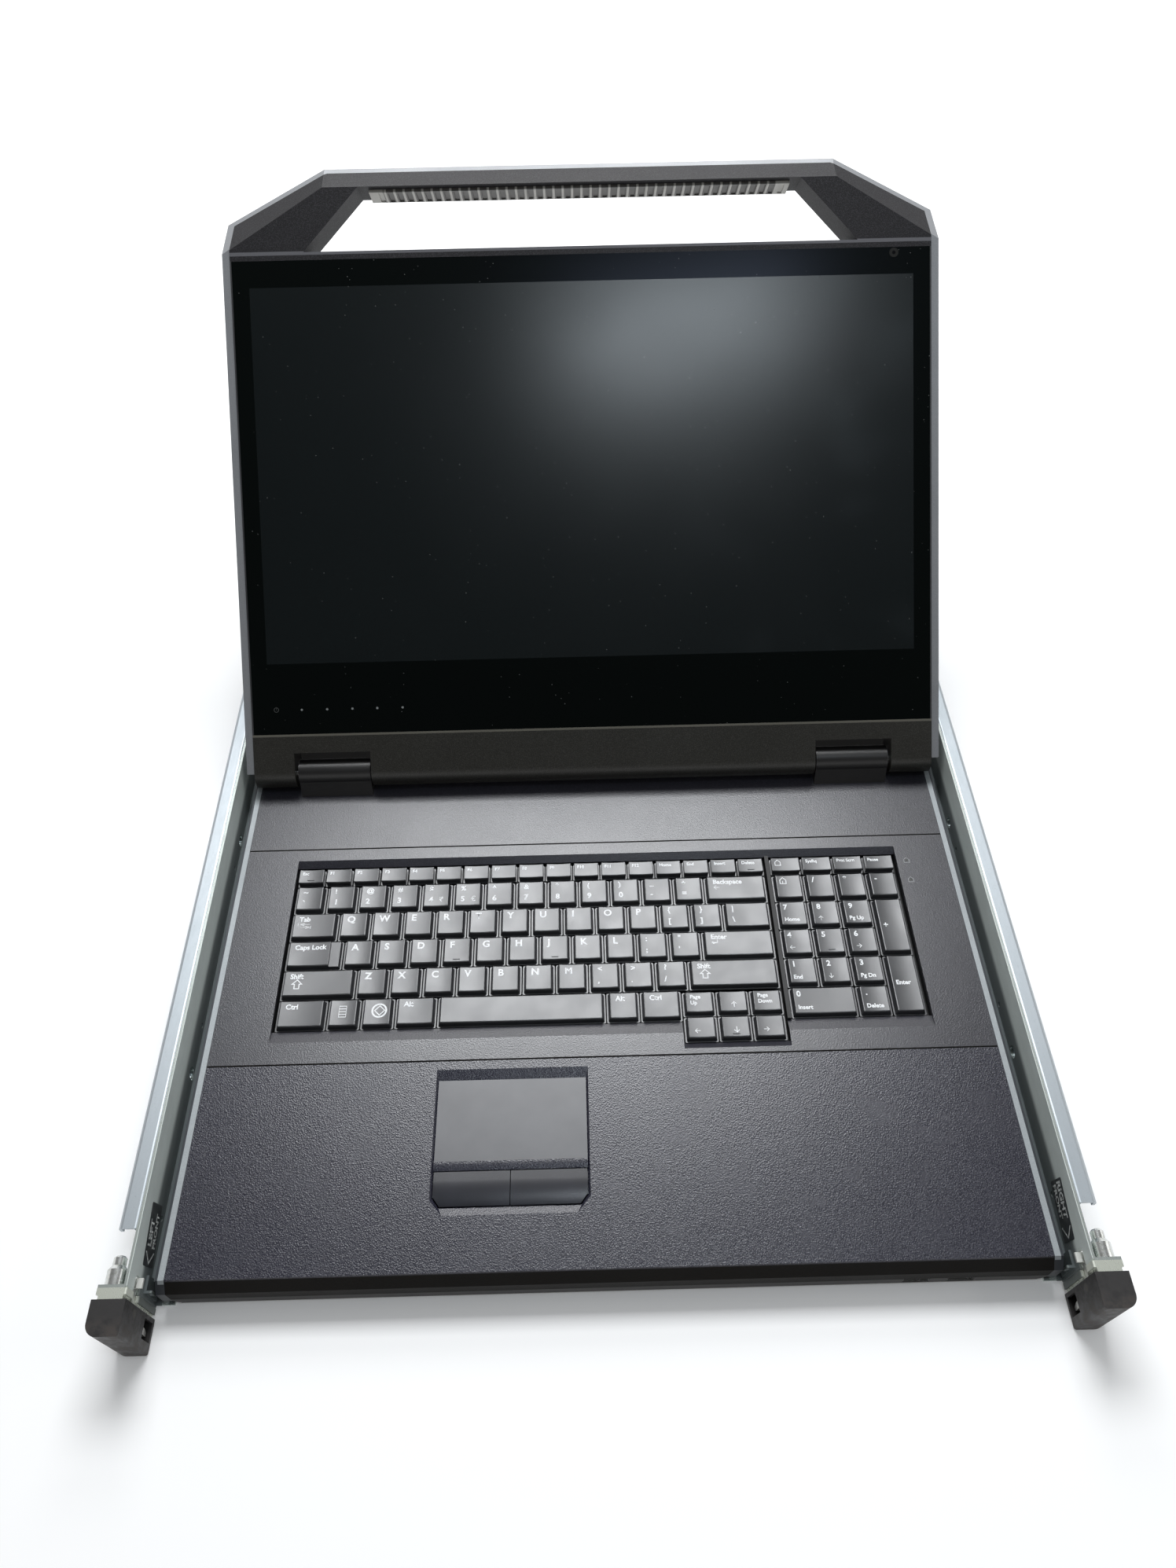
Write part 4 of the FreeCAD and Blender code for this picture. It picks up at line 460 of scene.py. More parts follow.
def grained(name, colour, roughness, size, depth, shine=0.5, painted_glint=None, line=None):
    """Moulded plastic with a pebbled grain. An optional colour gives bright spots, painted glints
    of the grain. A line is (low, high, colour) in mm up the display, a painted highlight along
    an edge."""
    made = Finish(name, colour, roughness, shine=shine)
    pebbles = made.pebbles(size)
    fine = made.noise(size * 0.35)
    made.relief = made.bumpy(made.plus(pebbles, made.times(fine, 0.35)), 0.8, depth)
    tone = made.blend(made.remap(made.noise(70.0), 0.3, 0.7), darker(colour, 0.92),
                      darker(colour, 1.08))
    tone = made.blend(made.remap(pebbles, 0.1, 0.75), darker(colour, 1.25), tone)
    # Bright spots: painted glints of the grain
    if painted_glint:
        tone = made.blend(made.remap(made.noise(size * 0.95, 2.0), 0.49, 0.61), tone, painted_glint)
    # A pale line along an edge: painted highlight
    if line:
        up = made.along("Y", made.on_screen())
        tone = made.blend(made.within(up, line[0], line[1], 0.2), tone, line[2])
    made.tone = tone
    made.matt = made.remap(made.noise(30.0, 4.0), 0.3, 0.7, roughness - 0.01, roughness + 0.015)
    made.drive("Base Color", tone)
    made.drive("Roughness", made.matt)
    return made


def seamed(made, edge=None):
    """Adds the dark seams of the tray's panels and painted shade on the deck behind the
    knuckles to a grained finish, with their reflections dulled. With an edge, a colour, the
    bevel ahead of the palm rest gets that colour and dulled reflections as painted shade, and
    the ridge before the touchpad rounds over."""
    rear = made.along("Y")
    seams_and_shade = made.most(*(made.within(rear, y - 0.4, y + 0.4, 0.15) for y in SEAMS))
    # Painted shade on the deck behind each knuckle
    seams_and_shade = made.most(seams_and_shade, made.times(made.within(rear, *KNUCKLE_PAINTED_SHADE[:2], 0.6),
                                      made.within(made.aside(), *KNUCKLE_PAINTED_SHADE[2:], 0.4)))
    tone = made.blend(seams_and_shade, made.tone, (0.002, 0.002, 0.002))
    if edge:
        # The front bevel: painted shade, darker and with dulled reflections
        ahead = made.remap(rear, (PALM_EDGE - 0.3) * MM, (PALM_EDGE + 0.3) * MM, 1.0, 0.0)
        seams_and_shade = made.most(seams_and_shade, ahead)
        tone = made.blend(ahead, tone, edge)
        middle, half, front, back = RIDGE
        across = made.less(made.along("X"), middle * MM)
        fall = made.maths("MINIMUM", made.less(rear, back * MM), 0.0)
        made.bumpy(made.times(made.rounded(fall, 0.035), made.times(
            made.within(across, -half, half, 0.05), made.within(rear, front, back, 0.05))),
            1.0, 1.0, made.relief)
    made.drive("Base Color", tone)
    made.drive("Roughness", made.plus(made.matt, made.times(seams_and_shade, 0.5)))
    # Reflections dulled on the seams and on the painted shade
    made.drive("Specular Tint", made.blend(seams_and_shade, WHITE, (0.3, 0.29, 0.28)))
    return made


def plated(name, colour, roughness, spangle=6.0, crown=None, metal=0.88):
    """Zinc plate: mottled, with faint drawing lines along the sheet, and a dark band of painted
    shade low on the rails' webs. A crown is the middle and the flat half-width of a rolled
    channel's top, which rounds over beyond it."""
    made = Finish(name, colour, roughness, metallic=metal)
    mottle = made.noise(spangle, 5.0, made.stretched(1.0, 0.35, 1.0), 0.6)
    lines = made.noise(1.6, 4.0, made.stretched(1.0, 0.02, 1.0), 0.6)
    inner = made.within(made.aside(), WEB_X - 3.0, WEB_X + 0.3, 0.05)
    # Low on the web's inner face, a dark teal band of painted shade
    top, low, rear, front = (edge * MM for edge in WEB_PAINTED_SHADE)
    web_shade = made.times(inner, made.remap(made.along("Z"), top, low, 0.0, 0.85))
    web_shade = made.times(web_shade, made.remap(made.along("Y"), rear, front))
    tone = made.blend(made.remap(mottle, 0.35, 0.7), darker(colour, 0.93), colour)
    tone = made.blend(made.remap(made.noise(45.0, 4.0), 0.5, 0.75, 0.0, 0.16), tone,
                      (colour[0] * 0.68, colour[1] * 0.76, colour[2] * 0.76))
    tone = made.blend(made.remap(made.noise(0.9), 0.66, 0.72, 0.0, 0.35), tone,
                      darker(colour, 0.45))
    made.drive("Base Color", made.blend(web_shade, tone, (0.045, 0.058, 0.063)))
    made.drive("Metallic", made.remap(inner, 0.0, 1.0, metal, 0.25))
    made.drive("Roughness", made.plus(made.times(inner, 0.2), made.remap(
        mottle, 0.3, 0.7, roughness + 0.03, roughness - 0.02)))
    normal = made.bumpy(lines, 0.12, 0.03)
    if crown:
        across = made.maths("ABSOLUTE", made.less(made.aside(), crown[0] * MM))
        over = made.most(made.less(across, crown[1] * MM), 0.0)
        made.bumpy(made.rounded(over, 0.3), 1.0, 1.0, normal)
    return made


def painted(name, colour, roughness, strip=None):
    """Satin metallic paint. With a strip, the paint covers only that part, and the rest is
    nearly black, which on the cheeks' outer rounding is painted shade."""
    made = Finish(name, colour, roughness, metallic=0.25)
    flake = made.noise(0.35)
    wide = made.noise(40.0, 4.0)
    tone = made.blend(made.remap(flake, 0.35, 0.7), darker(colour, 0.9), darker(colour, 1.1))
    tone = made.blend(made.remap(wide, 0.45, 0.75, 0.0, 0.3), tone, darker(colour, 0.75))
    if strip:
        # Nearly black outside the strip; beyond its outer x this is painted shade on the rounding
        inner, outer, low = strip
        unshaded = made.times(made.within(made.aside(), inner, outer, 0.12), made.remap(
            made.along("Z"), (low - 0.1) * MM, (low + 0.1) * MM))
        tone = made.blend(unshaded, (0.03, 0.034, 0.04), tone)
    made.drive("Base Color", tone)
    made.drive("Roughness", made.remap(wide, 0.3, 0.7, roughness - 0.05, roughness + 0.08))
    made.bumpy(flake, 0.15, 0.03)
    return made


# ---- rails and slides ----
def model_label(side, sign, seat):
    """The thin label on the inner face of a rail's web."""
    near, far = sorted((sign * (WEB_X - 0.18), sign * WEB_X))
    long, high = LABEL_HALF
    label = block(side + "_label", (near, -long, -high), (far, long, high))
    bevel(lambda a, b: abs(a.x - b.x) > 0.1 * MM, 0.9, 4)
    label.matrix_world = seat
    place_applied()
    return label


def model_chevron(sign):
    """A chevron that points to the front, cut from a square ring."""
    select()
    bpy.ops.mesh.primitive_plane_add(size=8.0 * MM)
    chevron = bpy.context.object
    choose("FACE", lambda face: True)
    bpy.ops.mesh.inset(thickness=0.75 * MM)
    bpy.ops.mesh.delete(type="FACE")
    bpy.ops.mesh.select_all(action="SELECT")
    bpy.ops.mesh.bisect(plane_co=(0, 0, 0), plane_no=(1, 1, 0), clear_outer=True)
    leave_edit()
    apply_modifier(chevron, "SOLIDIFY", thickness=0.04 * MM)
    chevron.matrix_world = moved(sign * 7.9, 0.0, 0.0) @ turned(-45.0 + 90.0 * (sign + 1), "Z")
    place_applied()
    return chevron


class RailsOperator(bpy.types.Operator):
    """Finishes the zinc-plated rails and adds the labels on their webs"""
    bl_idname = "console_drawer.rails"
    bl_label = "Rails"

    def execute(self, context):
        zinc = plated("zinc_sheet", context.scene.console_rails.zinc_colour, 0.26)
        dress(zinc, *pair("front_rail", "rear_bracket"))
        dress(plated("zinc_channel", srgb(178, 185, 190), 0.42, 4.0, CHANNEL_TOP),
              *pair("rear_rail"))
        dress(plated("plate_zinc", srgb(216, 220, 208), 0.26, 2.5, metal=0.6),
              *pair("mount_plate"))

        paper = speckled("label_black", 0.42, srgb(34, 36, 38), srgb(58, 60, 60),
                         (5.0, 5.0, 0.45, 0.7), (0.8, 3.0, 0.15, 0.03))
        print_ink = ink("label_ink", 1.5, 4.0, srgb(150, 154, 152),
                        srgb(215, 218, 216), 0.65)
        seat = moved(0.0, *LABEL_SEAT[:2]) @ turned(LABEL_SEAT[2], "X")
        for side, sign in (("left", -1), ("right", 1)):
            on_body(model_label(side, sign, seat), "rack_rails", paper)
            chevron = model_chevron(sign)
            words = to_mesh([text_at(side.upper(), 4.1, -5.6 if sign < 0 else -13.4, 0.6, 0.0),
                             text_at("FRONT", 3.4, -6.4 if sign < 0 else -12.6, -4.8, 0.0)],
                            "words")
            printed = join([words, chevron], side + "_label_print")
            facing = Matrix(((0.0, 0.0, -sign), (-sign, 0.0, 0.0), (0.0, 1.0, 0.0))).to_4x4()
            printed.matrix_world = moved(sign * (WEB_X - 0.2), 0.0, 0.0) @ seat @ facing
            place_applied()
            on_body(printed, "rack_rails", print_ink)
        return {"FINISHED"}


class LatchesOperator(bpy.types.Operator):
    """Finishes the latch covers and levers"""
    bl_idname = "console_drawer.latches"
    bl_label = "Latches"

    def execute(self, context):
        colour = context.scene.console_rails.cover_colour
        cover = Finish("cover_plastic", colour, 0.55)
        wear = cover.noise(7.0, 6.0, None, 0.65)
        front = cover.remap(cover.along("Y"), -12.0 * MM, -21.5 * MM)
        dust = cover.times(cover.remap(wear, 0.42, 0.62), front)
        cover.drive("Base Color", cover.blend(dust, colour, srgb(52, 46, 42)))
        cover.drive("Roughness", cover.remap(wear, 0.35, 0.65, 0.42, 0.66))
        cover.bumpy(cover.noise(0.4), 0.3, 0.06)
        dress(cover, *pair("latch_cover"))
        dress(plated("lever_steel", srgb(205, 205, 200), 0.3, 3.0), *pair("latch_lever"))
        dress(plated("pivot_steel", srgb(70, 68, 64), 0.4, 3.0), "latch_pivots")
        return {"FINISHED"}


class StudsOperator(bpy.types.Operator):
    """Finishes the rack studs"""
    bl_idname = "console_drawer.studs"
    bl_label = "Studs"

    def execute(self, context):
        steel = Finish("stud_plating", srgb(214, 216, 214), 0.22, metallic=1.0)
        steel.bumpy(steel.noise(0.7, 3.0, steel.stretched(0.15, 1.0, 0.15)), 0.3, 0.04)
        steel.mottle(2.0, 4.0, 0.45, 0.75, srgb(214, 216, 214), srgb(188, 190, 184))
        dress(steel, "front_studs", *pair("rear_studs"))
        return {"FINISHED"}


class SlidesOperator(bpy.types.Operator):
    """Finishes the three-part slides"""
    bl_idname = "console_drawer.slides"
    bl_label = "Slides"

    def execute(self, context):
        dress(plated("slide_steel", srgb(170, 178, 176), 0.3, 5.0),
              *pair("slide_outer", "slide_middle", "slide_inner"))
        dress(speckled("glide_plastic", 0.45, srgb(216, 214, 206), srgb(182, 178, 166),
                       (3.0, 4.0, 0.4, 0.7), (0.5, 2.0, 0.1, 0.03)), *pair("slide_glides"))
        return {"FINISHED"}


# ---- tray ----
class TrayOperator(bpy.types.Operator):
    """Finishes the tray's chassis, cheeks and moulded panels"""
    bl_idname = "console_drawer.tray"
    bl_label = "Tray"

    def execute(self, context):
        settings = context.scene.console_tray
        grain = settings.grain / MM
        # Bright spots on the palm rest and deck are painted glints of the grain; the palm rest's
        # dark front bevel is painted shade.
        dress(seamed(grained("palm_grain", settings.palm_colour, 0.265, grain * 0.62, 0.115,
                             0.65, (0.038, 0.038, 0.052)), srgb(10, 8, 6)), "palm_rest")
        dress(seamed(grained("deck_grain", settings.deck_colour, 0.29, grain * 0.6, 0.07,
                             0.75, (0.036, 0.036, 0.045))), "rear_deck", "keyboard_bezel")
        dress(speckled("chassis_paint", 0.5, srgb(20, 18, 17), srgb(34, 31, 28),
                       (30.0, 5.0, 0.4, 0.7), (1.2, 3.0, 0.3, 0.06)), "tray_chassis")
        dress(painted("cheek_paint", settings.cheek_colour, 0.42, CHEEK_STRIP), *pair("cheek"))
        dress(speckled("key_base_plastic", 0.55, srgb(13, 13, 14), srgb(22, 22, 24),
                       (4.0, 3.0, 0.4, 0.7), (0.6, 3.0, 0.25, 0.05)), "keyboard_base")
        return {"FINISHED"}


class TouchpadOperator(bpy.types.Operator):
    """Finishes the touchpad and its two click buttons"""
    bl_idname = "console_drawer.touchpad"
    bl_label = "Touchpad"

    def execute(self, context):
        pad = Finish("pad_skin", srgb(60, 61, 66), 0.42, shine=0.9)
        pad.bumpy(pad.noise(0.6, 2.0), 0.3, 0.03)
        pad.drive("Roughness", pad.remap(pad.noise(14.0), 0.3, 0.7, 0.39, 0.41))
        pad.mottle(22.0, 3.0, 0.3, 0.7, srgb(56, 57, 62), srgb(66, 67, 72))
        dress(pad, "touchpad_surface")
        button = Finish("button_plastic", srgb(30, 31, 38), 0.27, shine=0.8)
        ahead = button.maths("MINIMUM", button.less(button.along("Y"), BUTTON_ROUNDING * MM),
                             0.0)
        rounding = button.bumpy(button.rounded(ahead, 0.012), 1.0, 1.0)
        button.bumpy(button.noise(0.5), 0.12, 0.03, rounding)
        button.mottle(12.0, 3.0, 0.3, 0.7, srgb(26, 27, 34), srgb(34, 35, 43))
        dress(button, *pair("click_button"))
        return {"FINISHED"}


# ---- keys ----
def run_of_cells(left, y, depth, widths):
    """Cells from left to right as (centre x, centre y, width, depth) in mm; a gap is negative."""
    cells = []
    for width in widths:
        if width > 0:
            cells.append((left + width / 2, y, width, depth))
        left += abs(width)
    return cells


def row_cells(row):
    """The cells of a row, from the box of its CAD node."""
    low, high = (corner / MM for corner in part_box(row))
    left, right = low.x - KEY_GAP / 2, high.x + KEY_GAP / 2
    front, back = low.y - KEY_GAP / 2, high.y + KEY_GAP / 2
    middle = (front + back) / 2
    if row in PLAIN_ROWS:
        return run_of_cells(left, middle, KEY_PITCH, [u * KEY_PITCH for u in PLAIN_ROWS[row]])
    if row == "function_keys":
        main = 15 * KEY_PITCH
        return (run_of_cells(left, middle, back - front, [main / 17] * 17)
                + run_of_cells(right - 4 * KEY_PITCH, middle, back - front, [KEY_PITCH] * 4))
    if row == "cursor_keys":
        return [cell for line in (back - CURSOR_DEPTH / 2, front + CURSOR_DEPTH / 2)
                for cell in run_of_cells(left, line, CURSOR_DEPTH, [KEY_PITCH] * 3)]
    lines = [back - (i + 0.5) * KEY_PITCH for i in range(5)]
    tall_x = right - KEY_PITCH / 2
    cells = run_of_cells(left, lines[0], KEY_PITCH, [KEY_PITCH] * 4)
    for line in lines[1:4]:
        cells += run_of_cells(left, line, KEY_PITCH, [KEY_PITCH] * 3)
    cells += run_of_cells(left, lines[4], KEY_PITCH, [2 * KEY_PITCH, KEY_PITCH])
    return cells + [(tall_x, (lines[i] + lines[i + 1]) / 2, KEY_PITCH, 2 * KEY_PITCH)
                    for i in (1, 3)]


def cap_inset(row):
    return FUNCTION_INSET if row == "function_keys" else CAP_INSET


def model_key(settings, width, depth, inset, shelf=0.0):
    """One key about x = y = 0: skirt, tapered cap with a hollow top, and stems."""
    half_x, half_y = (width - KEY_GAP) / 2, (depth - KEY_GAP) / 2
    key = block("key", (-half_x, -half_y, SKIRT_LOW), (half_x, half_y, SKIRT_TOP))
    near = 0.01 * MM
    top = KEY_TOP * MM

    def level(z):
        return lambda face: face.normal.z > 0.9 and abs(face.center.z - z * MM) < 5 * near

    choose("FACE", level(SKIRT_TOP))
    bpy.ops.mesh.inset(thickness=(CAP_FOOT - KEY_GAP / 2) * MM)
    foot_x, foot_y = width / 2 - CAP_FOOT, depth / 2 - CAP_FOOT
    top_x, top_y = width / 2 - inset[0], depth / 2 - inset[1]
    right_x = top_x
    if shelf:
        share = 1 - SHELF_DROP / (KEY_TOP - SKIRT_TOP)
        extrude(0, 0, KEY_TOP - SHELF_DROP - SKIRT_TOP)
        shelf_x = foot_x + (top_x - foot_x) * share
        shelf_y = foot_y + (top_y - foot_y) * share
        bpy.ops.transform.resize(value=(shelf_x / foot_x, shelf_y / foot_y, 1))
        right_x = top_x - shelf
        bpy.ops.mesh.bisect(plane_co=(right_x * MM, 0, 0), plane_no=(1, 0, 0))
        on_shelf = level(KEY_TOP - SHELF_DROP)
        choose("FACE", lambda face: on_shelf(face) and face.center.x < right_x * MM)
        extrude(0, 0, SHELF_DROP)
        bpy.ops.transform.resize(
            value=((right_x + top_x) / (right_x + shelf_x), top_y / shelf_y, 1),
            center_override=(right_x * MM, 0, 0))
    else:
        extrude(0, 0, KEY_TOP - SKIRT_TOP)
        bpy.ops.transform.resize(value=(top_x / foot_x, top_y / foot_y, 1))
    left, right, side = -top_x * MM, right_x * MM, top_y * MM
    choose("EDGE", lambda a, b: abs(a.y - b.y) < 1e-6 and min(a.z, b.z) > top - near)
    bpy.ops.mesh.subdivide(number_cuts=DISH_STRIPS - 1)
    for strip in range(1, DISH_STRIPS):
        x = left + (right - left) * strip / DISH_STRIPS
        drop = settings.dish * (1 - (2 * strip / DISH_STRIPS - 1) ** 2)
        choose("EDGE", lambda a, b: max(abs(a.x - x), abs(b.x - x)) < near
               and min(a.z, b.z) > top - near)
        bpy.ops.transform.translate(value=(0, 0, -drop))

    def rim(a, b):
        """The cap's upper edges and its four slanting corners"""
        if min(a.z, b.z) < top - 0.5 * MM:
            return max(a.z, b.z) > top - near
        return (min(abs(a.y), abs(b.y)) > side - near and a.y * b.y > 0
                or max(abs(a.x - left), abs(b.x - left)) < near
                or max(abs(a.x - right), abs(b.x - right)) < near)

    bevel(rim, settings.corner / MM)
    bevel(lambda a, b: min(a.z, b.z) < SKIRT_LOW * MM + near
          and max(a.z, b.z) > SKIRT_TOP * MM - near, 0.7)
    parts = [key]
    for place in (-1, 1) if width >= 3 * KEY_PITCH else (0,):
        x = place * width / 4
        parts.append(block("stem", (x - STEM_SIZE / 2, -STEM_SIZE / 2, STEM_LOW),
                           (x + STEM_SIZE / 2, STEM_SIZE / 2, SKIRT_LOW + 0.2)))
        bevel(lambda a, b: max(a.z, b.z) < (STEM_LOW + 0.1) * MM, 0.4, 1)
    key = join(parts, "key")
    bpy.ops.object.shade_smooth_by_angle(angle=math.radians(14.0))
    return key


def model_bar(dish):
    """The small raised bar that a finger finds at the front of some keys."""
    bar = block("finger_bar", (-2.0, -0.35, KEY_TOP - dish - 0.3),
                (2.0, 0.35, KEY_TOP - dish + 0.35))
    bevel(lambda a, b: max(a.z, b.z) > (KEY_TOP - dish) * MM, 0.2)
    return bar


class KeysOperator(bpy.types.Operator):
    """Models each size of key once and sets the rows of keys"""
    bl_idname = "console_drawer.keys"
    bl_label = "Keys"

    def execute(self, context):
        settings = context.scene.console_keys
        colour = settings.cap_colour
        cap = Finish("cap_plastic", colour, 0.34, shine=0.9)
        wide = cap.remap(cap.noise(16.0), 0.3, 0.7)
        cap.bumpy(cap.noise(0.35), 0.16, 0.03)
        cap.drive("Base Color", cap.blend(wide, darker(colour, 0.9), darker(colour, 1.08)))
        cap.drive("Roughness", cap.plus(cap.times(wide, 0.06), 0.31))
        models = {}
        bar = model_bar(settings.dish / MM)
        for row in ROW_NAMES:
            copies = []
            inset = cap_inset(row)
            for place, (x, y, width, depth) in enumerate(row_cells(row)):
                shelf = SHELF_WIDTH if row == "home_row_keys" and place == 0 else 0.0
                size = (round(width, 2), round(depth, 2), shelf)
                if size not in models:
                    models[size] = model_key(settings, width, depth, inset, shelf)
                copies.append(copy_at(models[size], x, y))
                if place in BARS.get(row, ()):
                    copies.append(copy_at(bar, x, y - depth / 2 + inset[1] + 1.8))
            caps = join(copies, row.replace("_keys", "").replace("_bar", "") + "_caps")
            on_body(caps, row, cap)
            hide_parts(row)
        for model in (bar, *models.values()):
            bpy.data.objects.remove(model)
        return {"FINISHED"}


# ---- lettering ----
# A key's marks are (text, height, from the cap's left edge, from its rear edge, width), in mm
# and a share; a negative fourth value is from the cap's front edge.
def letters(text):
    return [[(c, 4.0, 3.1, 2.1)] for c in text]


def doubles(text, upper=3.2, lower=3.2):
    """Keys with one sign above another, and sometimes a third at the right."""
    return [[(signs[0], upper, 3.1, 1.8), (signs[1], lower, 3.1, -3.0),
             *((sign, 3.2, 9.2, -3.0) for sign in signs[2:])] for signs in text.split()]


def small(text):
    return [[(word.replace("_", " "), 2.0, 2.0, 1.8)] for word in text.split()]


def worded(text, *more):
    return [(text, 2.9, 3.2, 2.0), *more]


def page(text):
    return [("Page", 2.2, 2.2, 1.6), (text, 2.2, 2.2, 5.2)]


def pad_key(text, left=2.6, under="", under_left=0.0):
    """A number-pad key: its sign, and an arrow or a word below."""
    low = (3.0, -2.3) if under in SIGNS else (2.4, -2.4)
    return [(text, 3.3, left, 1.9)] + ([(under, low[0], under_left, low[1])] if under else [])


SIGNS = "←→↑↓⇤⇥↵⇧⌂▤○◇₹€"
SHIFT = worded("Shift", ("⇧", 5.4, 3.4, 6.0))
LETTERING = {
    "number_row_keys": doubles("~`", 3.2, 3.4)
    + doubles("!1 @2 #3 $4₹ %5€ ^6 &7 *8 (9 )0 _- +=", 3.1, 3.4)
    + [worded("Backspace", ("←", 3.2, 3.0, 5.8))],
    "upper_row_keys": [worded("Tab", ("|", 1.3, 2.6, 6.1), ("←", 2.0, 3.0, 5.9, 2.8),
                              ("→", 2.0, 3.0, 7.8, 2.8), ("|", 1.3, 10.0, 8.0))]
    + letters("QWERTYUIOP") + doubles("{[ }] |\\"),
    "home_row_keys": [worded("Caps Lock")] + letters("ASDFGHJKL") + doubles(":; \"'")
    + [worded("Enter", ("↵", 3.2, 3.0, 5.6))],
    "lower_row_keys": [SHIFT] + letters("ZXCVBNM") + doubles("<, >. ?/") + [SHIFT],
    "modifier_keys": [worded("Ctrl"), [("▤", 6.6, 4.6, 4.0, 0.6)],
                      [("○", 8.0, 3.2, 3.3), ("◇", 4.6, 5.2, 4.8)],
                      worded("Alt"), worded("Alt"), worded("Ctrl")],
    "function_keys": small("Esc F1 F2 F3 F4 F5 F6 F7 F8 F9 F10 F11 F12 Home End Insert Delete")
    + [[("⌂", 4.2, 1.7, 1.5)]] + small("SysRq Prnt_Scrn Pause"),
    "cursor_keys": [page("Up"), [("↑", 3.4, 5.6, -2.4)], page("Down"), [("←", 3.0, 3.0, -2.6)],
                    [("↓", 3.4, 5.6, -2.4)], [("→", 3.0, 3.0, -2.6)]],
    "numpad_keys": [
        [("⌂", 4.6, 1.7, 1.6), ("1", 1.7, 3.3, 4.0)], pad_key("/"), pad_key("*"), pad_key("-"),
        pad_key("7", 1.7, "Home", 1.7), pad_key("8", 2.6, "↑", 2.4),
        pad_key("9", 2.6, "Pg Up", 2.0), pad_key("4", 1.7, "←", 1.7), pad_key("5"),
        pad_key("6", 2.6, "→", 2.4), pad_key("1", 1.7, "End", 1.7),
        pad_key("2", 2.6, "↓", 2.4), pad_key("3", 2.6, "Pg Dn", 2.0),
        pad_key("0", 1.7, "Insert", 1.7), pad_key(".", 2.6, "Delete", 2.0),
        [("+", 3.3, 2.0, 15.6)], [("Enter", 2.6, 2.0, 15.6)]],
}
CAPITAL_SHARE = 0.682  # a capital's height in the size of the type
BOLD_SHARE = 0.034  # how far the bold strokes swell, in that size
M_SHIFT = 0.28  # the letter M is printed twice, this far apart
UP_ARROW = (0.83, 0.716, 0.0)  # puts a down arrow, turned about, on its line, in that size


def text_at(text, height, x, y, z, wide=1.0):
    """Bold text as a curve, its baseline's left end at x, y, z in mm."""
    select()
    bpy.ops.object.text_add(location=(x * MM, y * MM, z * MM))
    words = bpy.context.object
    words.data.body = text
    words.data.size = height * MM / CAPITAL_SHARE
    words.data.offset = 0.0 if text in SIGNS + "M" else BOLD_SHARE * words.data.size
    words.data.resolution_u = 3
    words.scale.x = wide
    if text == "↑":
        words.data.body = "↓"
        words.rotation_euler.z = math.pi
        words.location += Vector(UP_ARROW) * words.data.size
    return words


def to_mesh(words, name):
    """Turns pieces of text into one mesh, laid where the text stood."""
    select(*words)
    bpy.ops.object.convert(target="MESH")
    return join(words, name)


class LetteringOperator(bpy.types.Operator):
    """Prints the lettering on the keys"""
    bl_idname = "console_drawer.lettering"
    bl_label = "Lettering"

    def execute(self, context):
        settings = context.scene.console_keys
        colour = settings.legend_colour
        legend_ink = ink("legend_ink", 1.0, 4.0, colour, darker(colour, 0.82))
        scale = settings.letter / (4.0 * MM)
        for row, marks in LETTERING.items():
            cells = row_cells(row)
            if len(cells) != len(marks):
                raise RuntimeError(f"{row} has {len(cells)} keys and {len(marks)} sets of marks")
            inset = cap_inset(row)
            words = []
            for (x, y, width, depth), key_marks in zip(cells, marks):
                left, rear = x - width / 2 + inset[0], y + depth / 2 - inset[1]
                front = y - depth / 2 + inset[1]
                for text, height, from_left, from_edge, *wide in key_marks:
                    base = (rear - from_edge - height * scale if from_edge > 0
                            else front - from_edge)
                    for shift in (0.0, M_SHIFT) if text == "M" else (0.0,):
                        words.append(text_at(text, height * scale, left + from_left + shift,
                                             base, KEY_TOP + 1.0, *wide))
            name = row.replace("_keys", "")
            printed = to_mesh(words, name + "_lettering")
            lay_on(printed, bpy.data.objects[name + "_caps"], 0.05)
            on_body(printed, row, legend_ink)
        return {"FINISHED"}


class IndicatorsOperator(bpy.types.Operator):
    """Finishes the lock indicators and prints the signs beside them"""
    bl_idname = "console_drawer.indicators"
    bl_label = "Indicators"

    def execute(self, context):
        lens = Finish("lens_smoke", srgb(70, 72, 70), 0.15)
        lens.mottle(0.8, 2.0, 0.4, 0.6, srgb(62, 64, 62), srgb(82, 84, 80))
        dress(lens, "indicator_lenses")
        low, high = (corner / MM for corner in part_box("indicator_lenses"))
        x = (low.x + high.x) / 2
        signs = [text_at("⌂", 4.0, x - 2.1, y - 2.0, 2.0) for y in (low.y + 0.9, high.y - 0.9)]
        printed = to_mesh(signs, "lock_signs")
        lay_on(printed, NODES["keyboard_bezel"], 0.03)
        on_body(printed, "tray", ink(
            "sign_ink", 0.7, 3.0, srgb(112, 114, 116), srgb(146, 148, 150)))
        return {"FINISHED"}


class SocketsOperator(bpy.types.Operator):
    """Finishes the sockets, the boards and the power supply"""
    bl_idname = "console_drawer.sockets"
    bl_label = "Sockets and boards"

    def execute(self, context):
        dress(plated("socket_shell", srgb(190, 190, 188), 0.25, 3.0),
              "usb_sockets", "rear_sockets")
        board = Finish("board_resist", srgb(24, 66, 44), 0.35)
        tracks = board.pebbles(2.2, "F1")
        board.drive("Base Color", board.blend(board.remap(tracks, 0.25, 0.3),
                                              srgb(40, 92, 62), srgb(22, 62, 42)))
        board.bumpy(tracks, 0.2, 0.04)
        dress(board, "controller_board", "display_board")
        dress(plated("supply_case", srgb(168, 172, 172), 0.36, 4.0), "power_supply")
        return {"FINISHED"}


